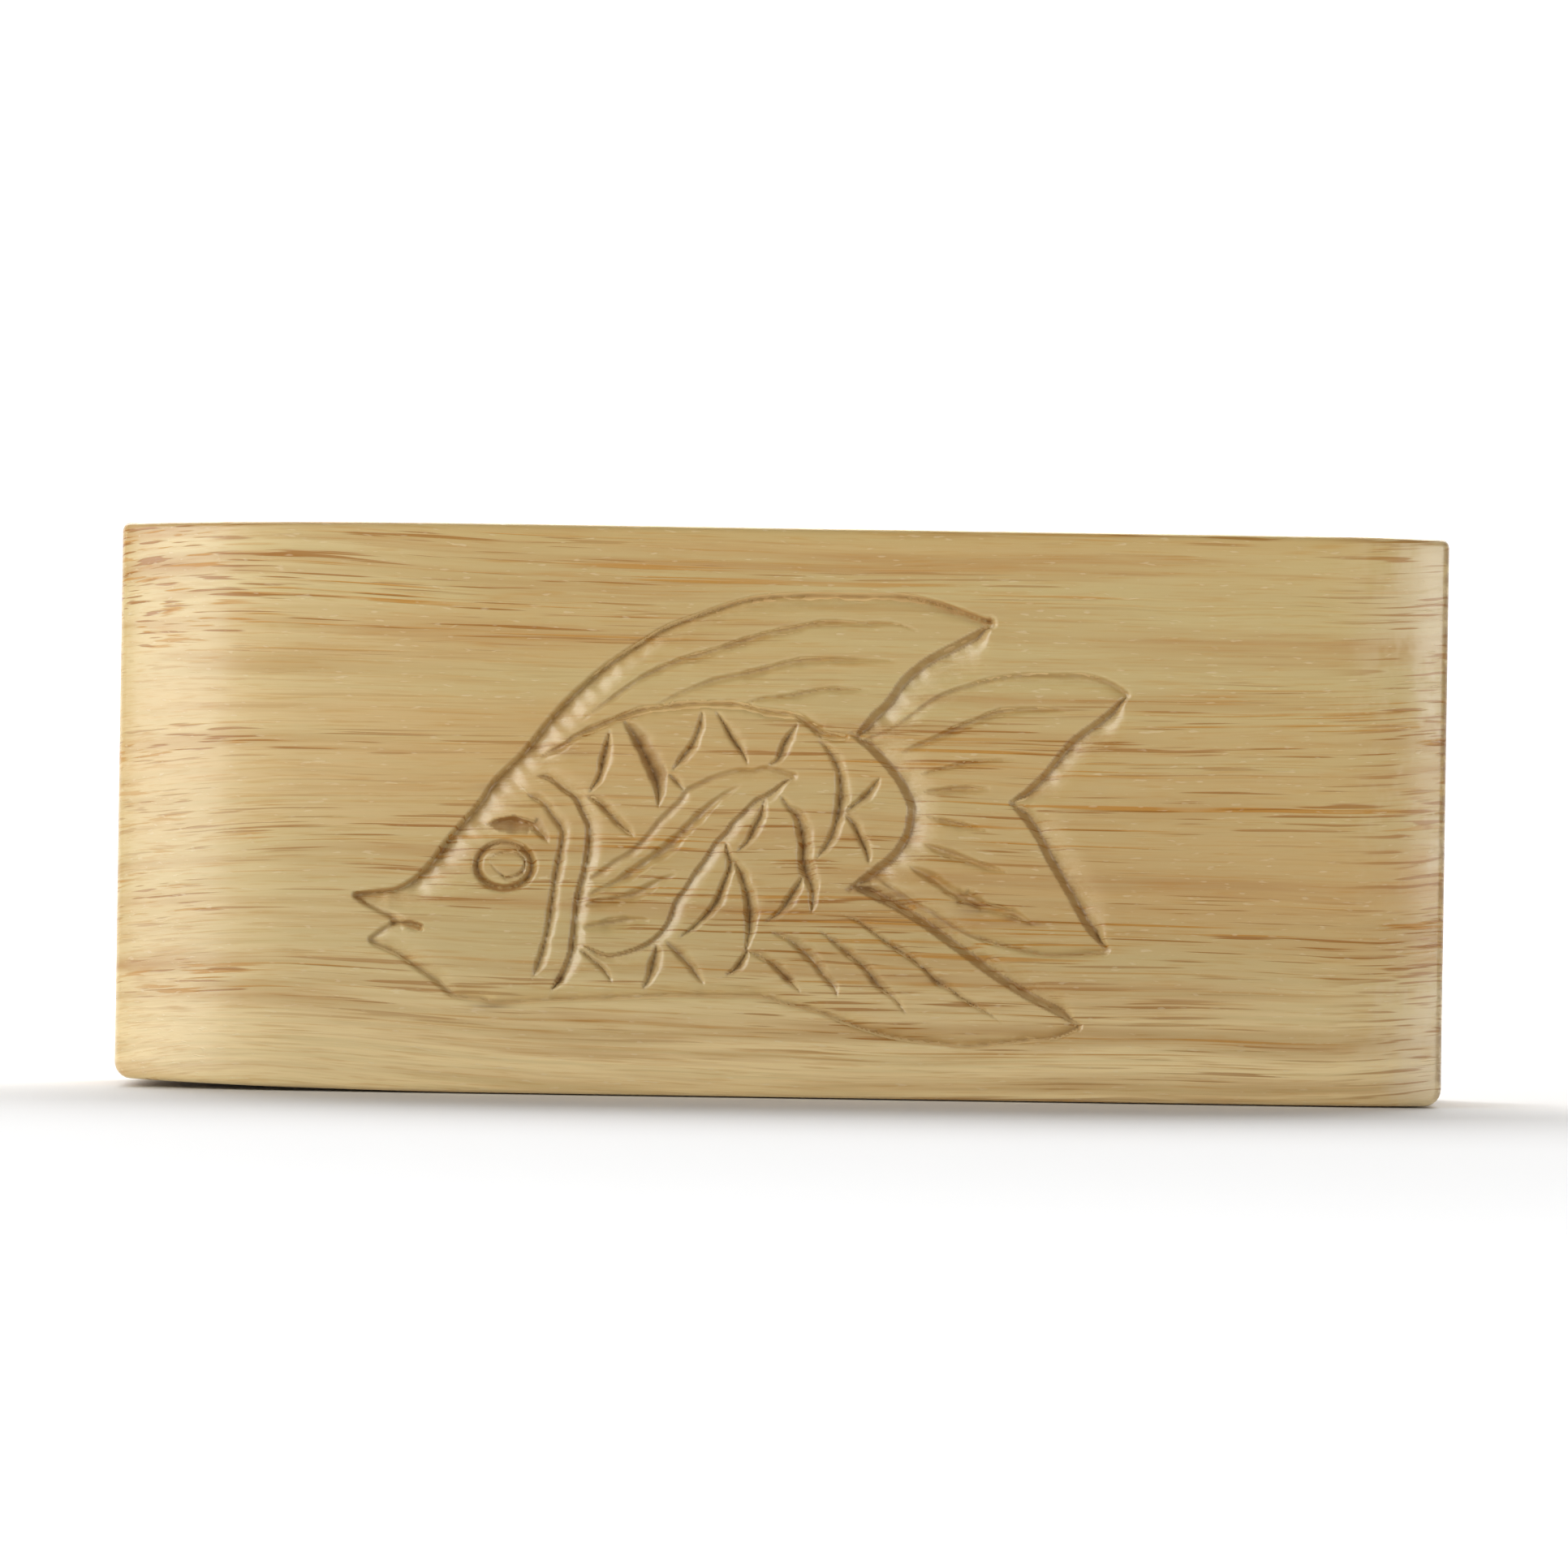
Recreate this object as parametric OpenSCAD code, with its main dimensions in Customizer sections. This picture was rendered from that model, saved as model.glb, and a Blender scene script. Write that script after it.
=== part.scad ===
// Box guiro: six boards round a hollow, a fish carved on the front board, sawn ridges on the back board.
// X runs along the instrument, Y through it (front at -Y), Z up. It stands on its long lower edge.

/* [Block] */
// length of the instrument
block_l = 200; // [160:1:240]
// thickness, front to back
block_t = 40; // [30:1:60]
// height
block_h = 85.5; // [70:0.5:110]
// rounding of the long edges
edge_r = 2; // [1:0.5:4]
// rounding of the four corners seen from the front
corner_r = 2.5; // [1:0.5:5]
// length of the flat face left of the middle
flat_left = 72; // [65:1:80]
// radius of the curved left end of the face
left_r = 48; // [40:1:80]
// length of the flat face right of the middle
flat_right = 84; // [60:1:90]
// radius of the curved right end of the face
right_r = 44; // [40:1:80]

/* [Boards] */
// thickness of the carved front board
front_t = 14; // [10:0.5:18]
// thickness of the ridged back board
back_t = 10; // [8:0.5:14]
// thickness of the top and bottom rails
rail_t = 10; // [6:0.5:14]
// thickness of the end blocks
end_t = 14; // [10:0.5:20]
// length of the rails' tenons
tenon_l = 5; // [3:0.5:8]
// height of the tenons
tenon_h = 6; // [4:0.5:8]
// width of the tenons
tenon_w = 8; // [6:0.5:12]
// gap round a tenon or a dowel
joint_gap = 0.05; // [0:0.05:0.2]

/* [Carving] */
// depth of the outline grooves
outline_d = 1.2; // [0.5:0.1:2]
// depth of the scale cuts
scale_d = 0.9; // [0.3:0.1:1.5]
// depth of the fin rays
ray_d = 0.5; // [0.2:0.1:1]

/* [Ridges] */
// distance between ridges
ridge_pitch = 6; // [4:0.5:10]
// number of sawn grooves
ridge_count = 26; // [10:1:28]
// depth of a groove
ridge_d = 3; // [1:0.5:5]

/* [Sound slot] */
// length of the slot in the top rail
slot_l = 130; // [60:1:150]
// width of the slot
slot_w = 6; // [3:0.5:9]

/* [Dowels] */
// diameter of the corner dowels
dowel_d = 5; // [4:0.5:6]
// depth of a dowel in each board
dowel_in = 6; // [4:0.5:8]
// distance of a dowel from the end
dowel_x = 7; // [6:0.5:9]
// distance of a dowel from the top and bottom
dowel_z = 12; // [8:0.5:20]

/* [Scraper] */
// diameter of the stick
stick_d = 8; // [6:0.5:10]
// length of the stick
stick_l = 198; // [180:1:200]
// gap round the stick in its bores
stick_gap = 0.1; // [0.05:0.05:0.3]
// width of the dished finger hollow in each end
dish_w = 14; // [12:0.5:15]
// depth of the finger hollow
dish_d = 3; // [2:0.5:4]

/* [Hidden] */
$fn = 64;

front_y = -block_t / 2;
back_y = block_t / 2;
inner_front = front_y + front_t;
inner_back = back_y - back_t;
mid_y = (inner_front + inner_back) / 2;
mid_z = block_h / 2;
half_l = block_l / 2;
inner_x = half_l - end_t;
gap_t = inner_back - inner_front;
dish_r = (dish_w * dish_w / 4 + dish_d * dish_d) / (2 * dish_d);
e = 1;

// The fish, drawn on the face from its middle: [widest width, [points]], in mm. Its head is at -X.
outline = [
    [1.4, [[-64, -13.5], [-60, -13], [-57.5, -12.5], [-55, -11], [-52.5, -8.5], [-50, -5], [-47, -1.5],
        [-45, 1], [-43, 4], [-39, 8], [-35.5, 12.5], [-32, 16.5], [-27, 21], [-22, 24.5], [-18, 27],
        [-14.5, 28.5], [-7.5, 31], [-3, 32], [4, 32.5], [11, 32.5], [18, 32.5], [23.5, 31.5],
        [29.5, 29.5], [31.5, 29]]],
    [1.8, [[31.5, 29], [26, 26], [21.5, 23.5], [18, 20.5], [15.5, 17], [13, 14.5], [10.5, 11]]],
    [1.4, [[13, 11], [18.5, 14], [23.5, 17.5], [29, 19.5], [33, 20.5], [37.5, 21], [42, 21], [46, 21],
        [49.5, 20], [52, 18.5]]],
    [1.8, [[52, 18.5], [48, 15], [43.5, 11.5], [39, 6], [34.5, 2]]],
    [1.8, [[34.5, 2], [38.5, -2.5], [40.5, -7], [43.5, -12], [46.5, -17], [49.5, -20]]],
    [1.4, [[49.5, -20], [45, -20.5], [40, -20.5], [35, -19.5], [31, -18.5], [27, -17], [23, -14.5],
        [20, -13], [17, -11], [14, -9]]],
    [1.8, [[10.5, -11], [14.5, -12.5], [18.5, -14.5], [22.5, -17], [27.5, -20.5], [32.5, -24],
        [37.5, -27], [42.5, -29.5], [45.5, -31.5]]],
    [1.2, [[45.5, -31.5], [42, -33], [37.5, -33.5], [33.5, -34], [29, -34.5], [23.5, -34], [19, -33.5],
        [14.5, -32.5], [10, -31], [6, -29.5], [1.5, -28.5], [-2.5, -27.5], [-9, -27.5], [-16, -27.5],
        [-24, -28], [-34, -28.5], [-42, -29], [-45, -28.5], [-49, -28], [-51.5, -26], [-54.5, -24],
        [-57.5, -22], [-61, -20.5], [-61.5, -20]]],
    [1.2, [[-61.5, -20], [-59.5, -18.5], [-57.5, -17.5], [-54, -18]]],
    [1.2, [[-57.5, -17.5], [-58.5, -16.5], [-60.5, -15.5], [-62.5, -14.5], [-64, -13.5]]],
    [2, [[10.5, 11.5], [13, 9.5], [15.5, 7], [17.5, 4.5], [19, 1.5], [19, -0.5], [18.5, -3],
        [16.5, -6], [14, -8], [10.5, -11]]]
];
gills = [
    [1.4, [[-39, 5], [-37, 4.5], [-35, 4], [-33, 2.5], [-31.5, 1.5], [-30.5, -0.5], [-29.5, -2.5],
        [-29.5, -5], [-30, -9], [-31, -13], [-31.5, -18], [-32, -22], [-33.5, -25.5], [-35, -28]]],
    [1.6, [[-39.5, 3.5], [-38, 2], [-36, 1], [-34.5, -1], [-33, -3], [-33, -5], [-33.5, -8],
        [-34, -11], [-34.5, -15], [-35, -18.5], [-36, -22.5], [-37.5, -26.5]]]
];
pectoral = [
    [1.2, [[2, 5.5], [-2, 6.5], [-4, 6], [-6.5, 6], [-10, 5], [-12, 4], [-14, 3], [-15, 1.5],
        [-18, -1.5], [-20, -4], [-22.5, -6.5], [-25, -8], [-27, -9.5], [-29, -10.5]]],
    [1.4, [[2, 5.5], [0, 4.5], [-2, 3], [-4, 2], [-6, 0], [-7.5, -1.5], [-8.5, -3], [-10, -4.5],
        [-11.5, -7], [-13, -9], [-14.5, -11.5], [-16, -13.5], [-17, -16.5], [-18.5, -18.5],
        [-20.5, -20], [-23, -21], [-25.5, -21.5], [-27.5, -21], [-30, -20]]]
];
body_top = [
    [1.2, [[-39, 6.5], [-37, 7.5], [-33, 9.5], [-31, 11], [-26.5, 13], [-24, 14], [-21, 15],
        [-17.5, 15.5], [-13.5, 16], [-7, 16], [-2, 15], [2, 14.5], [4.5, 13], [6, 12], [8.5, 11.5],
        [10.5, 11.5]]]
];
scales = [
    [1.6, [[-26, 12], [-26.5, 9.5], [-27, 7.5], [-27.5, 5], [-29, 2.5]]],
    [2, [[-24, 13.5], [-22, 11.5], [-20, 9], [-19.5, 7], [-18.5, 5], [-18, 2.5], [-18.5, 0.5]]],
    [1.6, [[-29.5, 2], [-27.5, 1], [-26, -0.5], [-24.5, -2], [-22, -4]]],
    [1.3, [[-12, 15], [-12.5, 12.5], [-13.5, 10], [-15, 8], [-16.5, 6]]],
    [1, [[-17, 5.5], [-15.5, 4], [-14.5, 3]]],
    [1, [[-10, 15], [-9, 13.5], [-7.5, 11], [-6, 9], [-5, 7]]],
    [1.2, [[2.5, 13.5], [0.5, 10.5], [-0.5, 8], [-2, 7]]],
    [1.6, [[5.5, 11], [7, 9.5], [8.5, 7], [9, 4.5], [9, 2], [8.5, -1], [7.5, -4], [5.5, -7]]],
    [1.2, [[15, 5.5], [13.5, 3.5], [12, 2], [9.5, 0]]],
    [1.2, [[9.5, 0], [11, -1.5], [12, -3.5], [13, -5.5], [13.5, -7.5]]],
    [1.3, [[-1.5, 3.5], [-2.5, 1.5], [-3, -0.5], [-4, -2.5], [-5, -4.5], [-6.5, -6]]],
    [1.8, [[0, 2.5], [1, 1], [2.5, -0.5], [3, -2], [3.5, -4.5], [3.5, -7], [4, -9], [5, -11.5],
        [5, -15]]],
    [1.5, [[4, -8.5], [3, -10.5], [1.5, -13], [0, -15], [-2, -16.5]]],
    [1.3, [[-8.5, -3.5], [-8, -6], [-7.5, -8], [-8.5, -11], [-9.5, -13.5], [-11, -15.5],
        [-13, -17.5], [-15, -19]]],
    [1.8, [[-7.5, -6.5], [-6, -9], [-5, -12], [-4.5, -15], [-4.5, -18], [-5, -21]]],
    [1.2, [[-4.5, -20.5], [-6, -23], [-7, -24], [-8, -24.5]]],
    [1.5, [[-4.5, -21], [-2, -22], [0, -23.5], [1.5, -25], [2.5, -26], [3.5, -27]]],
    [1.8, [[-1, -18], [1.5, -19], [3.5, -20.5], [5.5, -22.5], [7, -24.5], [8.5, -26], [9, -27.5]]],
    [1.6, [[6, -17.5], [8, -19], [10.5, -21], [13, -23], [15, -25.5], [17.5, -27.5], [19.5, -30]]],
    [1.2, [[9.5, -15], [12.5, -16.5], [16, -19], [20, -21.5], [22.5, -23.5], [24, -25], [26, -26],
        [28, -27.5], [32.5, -30], [34, -31]]],
    [1.5, [[-18.5, -19.5], [-18.5, -21], [-19, -23], [-19.5, -25], [-20.5, -27]]],
    [1.5, [[-17, -19.5], [-15, -21.5], [-13.5, -23], [-12, -25], [-11, -26]]],
    [1, [[-31, -20.5], [-29.5, -21.5], [-27.5, -23], [-26, -24.5], [-25, -26]]]
];
rays = [
    [1, [[-34, 10.5], [-32, 12], [-29.5, 14], [-26, 16.5], [-22.5, 19], [-20, 20.5], [-15.5, 22.5],
        [-12, 23.5], [-3, 26.5], [1.5, 27.5], [6, 28.5], [12, 28.5], [17, 28.5], [20.5, 27.5]]],
    [1, [[-19.5, 15.5], [-15.5, 17.5], [-10.5, 19.5], [-4, 21], [1.5, 22.5], [6.5, 23], [11, 23],
        [17, 23]]],
    [0.8, [[-6, 16], [-3, 17], [1.5, 17.5], [6.5, 18.5], [10, 18.5], [13.5, 18.5]]],
    [1.4, [[-6, 4], [-8.5, 2.5], [-11, 0.5], [-14, -2.5], [-17, -5.5], [-20.5, -8], [-24, -10.5],
        [-27, -12], [-30, -13.5]]],
    [1.4, [[-15.5, -9.5], [-18, -10.5], [-21.5, -12.5], [-25, -13.5], [-28, -14], [-30, -15]]],
    [1.4, [[-19.5, -16.5], [-22, -16.5], [-25, -17], [-28, -17.5], [-30.5, -18]]],
    [1.2, [[16, 8], [20, 10], [24.5, 12], [29, 14], [33, 15.5], [37.5, 16], [43.5, 16]]],
    [0.8, [[18, 5], [23, 6.5], [29, 8], [35.5, 8.5]]],
    [1, [[19, 3], [23, 3.5], [27.5, 4], [32, 4]]],
    [1, [[19.5, 0.5], [23, -0.5], [27.5, -1.5], [32, -2.5]]],
    [1.2, [[19, -3.5], [23.5, -5], [28, -6.5], [31, -7.5], [34.5, -8.5]]],
    [1.5, [[17.5, -6.5], [20, -8], [23, -9.5], [26, -11.5], [28.5, -12.5], [31, -13.5], [35, -14.5],
        [39, -16.5]]]
];
brow = [[2, [[-47, -3], [-44.5, -2.5], [-42, -2], [-40, -2], [-37.5, -2.5], [-36.5, -3.5], [-35, -5]]]];
eye_at = [-41.5, -8.5];

function bend(a, b, c, d, t) = 0.5 * (2 * b + (c - a) * t + (2 * a - 5 * b + 4 * c - d) * t * t
    + (3 * b - a - 3 * c + d) * t * t * t);
function curve(p, n) = concat([for (i = [0:len(p) - 2]) for (k = [0:n - 1])
    bend(p[max(i - 1, 0)], p[i], p[i + 1], p[min(i + 2, len(p) - 1)], k / n)], [p[len(p) - 1]]);
function across(c, i) = let(d = c[min(i + 1, len(c) - 1)] - c[max(i - 1, 0)]) [-d[1], d[0]] / norm(d);
function breadth(w, t, tip) = w * (tip + (1 - tip) * pow(sin(180 * t), 0.7));
function side(c, w, tip, s) = [for (i = [0:len(c) - 1])
    c[i] + s * across(c, i) * breadth(w, i / (len(c) - 1), tip) / 2];
function turned(v) = [for (i = [len(v) - 1:-1:0]) v[i]];
function stroke(w, c, tip) = concat(side(c, w, tip, 1), turned(side(c, w, tip, -1)));

// One group of grooves, sunk d into the face. tip is the width left at a groove's ends, as a share.
module carve(lines, d, tip) {
    translate([0, front_y + d, mid_z])
        rotate([90, 0, 0])
            linear_extrude(height = d + e)
                for (s = lines) polygon(stroke(s[0], curve(s[1], 2), tip));
}

module eye() {
    translate([eye_at[0], front_y + outline_d, mid_z + eye_at[1]])
        rotate([90, 0, 0])
            difference() {
                cylinder(r = 4.5, h = outline_d + e);
                translate([0, 0, -e]) cylinder(r = 3.5, h = outline_d + 3 * e);
            }
}

// The outer block seen from the front, with round corners.
module face_view(y0, y1) {
    translate([0, y1, mid_z])
        rotate([90, 0, 0])
            linear_extrude(height = y1 - y0)
                union() {
                    square([block_l - 2 * corner_r, block_h], center = true);
                    square([block_l, block_h - 2 * corner_r], center = true);
                    for (x = [-1, 1]) for (z = [-1, 1])
                        translate([x * (half_l - corner_r), z * (mid_z - corner_r)]) circle(r = corner_r);
                }
}

// The block seen from its end, with the long edges rounded on one side.
module long_edges(y0, y1, s) {
    translate([-half_l - e, 0, 0])
        rotate([90, 0, 90])
            linear_extrude(height = block_l + 2 * e)
                union() {
                    translate([s < 0 ? y0 + edge_r : y0, 0]) square([y1 - y0 - edge_r, block_h]);
                    translate([y0, edge_r]) square([y1 - y0, block_h - 2 * edge_r]);
                    for (z = [edge_r, block_h - edge_r])
                        translate([s < 0 ? y0 + edge_r : y1 - edge_r, z]) circle(r = edge_r);
                }
}

// The plan of the front board: flat in the middle, curving away at both ends.
module front_plan() {
    translate([0, 0, -e])
        linear_extrude(height = block_h + 2 * e)
            intersection() {
                translate([-half_l - e, front_y]) square([block_l + 2 * e, front_t + e]);
                union() {
                    translate([-flat_left, front_y]) square([flat_left + flat_right, front_t + e]);
                    translate([-flat_left, front_y + left_r]) circle(r = left_r);
                    translate([flat_right, front_y + right_r]) circle(r = right_r);
                }
            }
}

module dowel_holes() {
    for (x = [-1, 1]) for (z = [dowel_z, block_h - dowel_z])
        translate([x * (half_l - dowel_x), inner_back + dowel_in + 0.5, z])
            rotate([90, 0, 0]) cylinder(d = dowel_d + 2 * joint_gap, h = gap_t + 2 * dowel_in + 1);
}

module front_board() {
    color([0.75, 0.63, 0.43])
        difference() {
            intersection() {
                face_view(front_y - e, inner_front);
                long_edges(front_y, inner_front + e, -1);
                front_plan();
            }
            carve(outline, outline_d, 0.4);
            carve(gills, outline_d, 0.3);
            carve(pectoral, outline_d, 0.3);
            carve(body_top, scale_d, 0.3);
            carve(scales, scale_d, 0.15);
            carve(brow, scale_d, 0.15);
            carve(rays, ray_d, 0.15);
            eye();
            dowel_holes();
        }
}

module back_board() {
    color([0.73, 0.6, 0.41])
        difference() {
            intersection() {
                face_view(inner_back, back_y + e);
                long_edges(inner_back - e, back_y, 1);
            }
            for (i = [0:ridge_count - 1])
                translate([(i - (ridge_count - 1) / 2) * ridge_pitch, back_y, -e])
                    linear_extrude(height = block_h + 2 * e)
                        polygon([[-2.4, e], [-2, 0], [0, -ridge_d], [2, 0], [2.4, e]]);
            dowel_holes();
        }
}

module rail(z0) {
    translate([-inner_x, inner_front, z0]) cube([2 * inner_x, gap_t, rail_t]);
    for (x = [-1, 1])
        translate([x * inner_x - (x < 0 ? tenon_l : e), mid_y - tenon_w / 2, z0 + (rail_t - tenon_h) / 2])
            cube([tenon_l + e, tenon_w, tenon_h]);
}

module top_rail() {
    color([0.76, 0.64, 0.45])
        difference() {
            rail(block_h - rail_t);
            translate([0, mid_y, block_h - rail_t - e])
                linear_extrude(height = rail_t + 2 * e)
                    union() {
                        square([slot_l - slot_w, slot_w], center = true);
                        for (x = [-1, 1]) translate([x * (slot_l - slot_w) / 2, 0]) circle(d = slot_w);
                    }
        }
}

module bottom_rail() {
    color([0.76, 0.64, 0.45]) rail(0);
}

// An end block, drawn for the right end.
module end_block() {
    difference() {
        intersection() {
            face_view(inner_front, inner_back);
            translate([inner_x, inner_front, -e]) cube([end_t, gap_t, block_h + 2 * e]);
        }
        for (z = [(rail_t - tenon_h) / 2, block_h - (rail_t + tenon_h) / 2])
            translate([inner_x - e, mid_y - tenon_w / 2 - joint_gap, z - joint_gap])
                cube([tenon_l + e + 0.5, tenon_w + 2 * joint_gap, tenon_h + 2 * joint_gap]);
        translate([inner_x - e, mid_y, mid_z])
            rotate([0, 90, 0]) cylinder(d = stick_d + 2 * stick_gap, h = end_t + 2 * e);
        translate([half_l + dish_r - dish_d, mid_y, mid_z]) sphere(r = dish_r);
        dowel_holes();
    }
}

module left_end_block() {
    color([0.74, 0.61, 0.42]) mirror([1, 0, 0]) end_block();
}

module right_end_block() {
    color([0.74, 0.61, 0.42]) end_block();
}

module corner_dowels() {
    color([0.62, 0.47, 0.3])
        for (x = [-1, 1]) for (z = [dowel_z, block_h - dowel_z])
            translate([x * (half_l - dowel_x), inner_back + dowel_in, z])
                rotate([90, 0, 0]) cylinder(d = dowel_d, h = gap_t + 2 * dowel_in);
}

// The playing stick, kept in the bores of both end blocks.
module scraper() {
    color([0.55, 0.4, 0.25])
        translate([-stick_l / 2, mid_y, mid_z])
            rotate([0, 90, 0])
                union() {
                    cylinder(r1 = stick_d / 2 - 1, r2 = stick_d / 2, h = 1);
                    translate([0, 0, 1]) cylinder(d = stick_d, h = stick_l - 2);
                    translate([0, 0, stick_l - 1]) cylinder(r1 = stick_d / 2, r2 = stick_d / 2 - 1, h = 1);
                }
}

front_board();
back_board();
top_rail();
bottom_rail();
left_end_block();
right_end_block();
corner_dowels();
scraper();
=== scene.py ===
import math

import bmesh
import bpy
import numpy as np
from mathutils import Matrix, Vector


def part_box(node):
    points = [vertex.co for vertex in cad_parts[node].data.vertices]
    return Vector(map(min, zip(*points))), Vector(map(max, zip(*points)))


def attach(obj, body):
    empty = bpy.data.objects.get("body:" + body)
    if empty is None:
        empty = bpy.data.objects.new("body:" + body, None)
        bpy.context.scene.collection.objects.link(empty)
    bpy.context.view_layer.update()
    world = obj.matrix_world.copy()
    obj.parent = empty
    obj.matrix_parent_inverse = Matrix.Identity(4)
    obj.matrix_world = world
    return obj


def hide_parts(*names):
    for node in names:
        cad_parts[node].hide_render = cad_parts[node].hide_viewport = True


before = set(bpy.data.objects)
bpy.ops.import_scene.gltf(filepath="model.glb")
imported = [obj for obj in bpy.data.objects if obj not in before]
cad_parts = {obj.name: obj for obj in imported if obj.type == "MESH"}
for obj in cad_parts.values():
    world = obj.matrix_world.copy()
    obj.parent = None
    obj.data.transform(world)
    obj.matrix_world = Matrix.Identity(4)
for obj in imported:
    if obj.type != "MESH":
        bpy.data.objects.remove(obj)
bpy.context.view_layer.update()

mm = 0.001

# Shared block, all in millimetres, measured from the CAD boards.
frontLow, frontHigh = (v * 1000 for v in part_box("front_board"))
backLow, backHigh = (v * 1000 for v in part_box("back_board"))
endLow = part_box("right_end_block")[0] * 1000
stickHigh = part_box("scraper")[1] * 1000
block = {
    "halfLength": frontHigh.x,
    "height": frontHigh.z,
    "front": frontLow.y,
    "innerFront": frontHigh.y,
    "innerBack": backLow.y,
    "back": backHigh.y,
    "endInner": endLow.x,
    "railThickness": 10.0,
    "cornerRadius": 2.5,
    "edgeRadius": 2.0,
    "seam": 0.22,
}
midHeight = block["height"] / 2
midDepth = (block["innerFront"] + block["innerBack"]) / 2


def boxMesh(low, high):
    bm = bmesh.new()
    bmesh.ops.create_cube(bm, size=1)
    low, high = Vector(low), Vector(high)
    bmesh.ops.scale(bm, vec=high - low, verts=bm.verts)
    bmesh.ops.translate(bm, vec=(low + high) / 2, verts=bm.verts)
    return bm


def soften(bm, edges, width, segments):
    return bmesh.ops.bevel(bm, geom=edges, offset=width, offset_type="OFFSET", affect="EDGES",
                           segments=segments, profile=0.5, material=-1, clamp_overlap=True)


def edgesAlong(bm, axis, test=lambda a, b: True):
    found = []
    for e in bm.edges:
        a, b = e.verts[0].co, e.verts[1].co
        d = b - a
        if abs(d[axis]) > 0.999 * d.length and test(a, b):
            found.append(e)
    return found


def sliceAcross(bm, axis, places, keepOut=lambda f: False):
    normal = Vector((0, 0, 0))
    normal[axis] = 1
    for place in places:
        faces = [f for f in bm.faces if not keepOut(f)
                 and min(v.co[axis] for v in f.verts) < place - 1e-5
                 and max(v.co[axis] for v in f.verts) > place + 1e-5]
        edges = dict.fromkeys(e for f in faces for e in f.edges)
        verts = dict.fromkeys(v for f in faces for v in f.verts)
        point = Vector((0, 0, 0))
        point[axis] = place
        bmesh.ops.bisect_plane(bm, geom=list(verts) + list(edges) + faces, dist=1e-5,
                               plane_co=point, plane_no=normal)


def finishPiece(bm, name, body, node, material, sharpAngle=40):
    bmesh.ops.scale(bm, vec=(mm, mm, mm), verts=bm.verts)
    bmesh.ops.recalc_face_normals(bm, faces=bm.faces)
    mesh = bpy.data.meshes.new(name)
    for f in bm.faces:
        f.smooth = True
    bm.to_mesh(mesh)
    bm.free()
    mesh.set_sharp_from_angle(angle=math.radians(sharpAngle))
    mesh.materials.append(material)
    piece = bpy.data.objects.new(name, mesh)
    bpy.context.scene.collection.objects.link(piece)
    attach(piece, body)
    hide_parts(node)
    return piece


# The block loses a little height towards its ends, as if sanded by hand.
handSanding = {"leftFrom": 45.0, "leftLift": 0.95, "leftDrop": 0.5,
               "rightFrom": 80.0, "rightLift": 0.1, "rightDrop": 0.25}


def handTaper(x):
    h = handSanding
    left = np.clip((-h["leftFrom"] - x) / 50, 0, 1.2) ** 1.6
    right = np.clip((x - h["rightFrom"]) / 20, 0, 1.2) ** 2
    return (h["leftLift"] * left + h["rightLift"] * right,
            h["leftDrop"] * left + h["rightDrop"] * right)


def taperVerts(bm):
    for v in bm.verts:
        lift, drop = handTaper(v.co.x)
        h = v.co.z / block["height"]
        v.co.z += lift * max(0, 1 - 2 * h) - drop * max(0, 2 * h - 1)


# The face curves away at both ends, the left one more.
faceCurve = {"leftFrom": 72.0, "leftRadius": 48.0, "rightFrom": 84.0, "rightRadius": 44.0}


def recess(x):
    left, right = faceCurve["leftRadius"], faceCurve["rightRadius"]
    a = np.clip(-x - faceCurve["leftFrom"], 0, left)
    b = np.clip(x - faceCurve["rightFrom"], 0, right)
    return left - np.sqrt(left ** 2 - a ** 2) + right - np.sqrt(right ** 2 - b ** 2)


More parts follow.
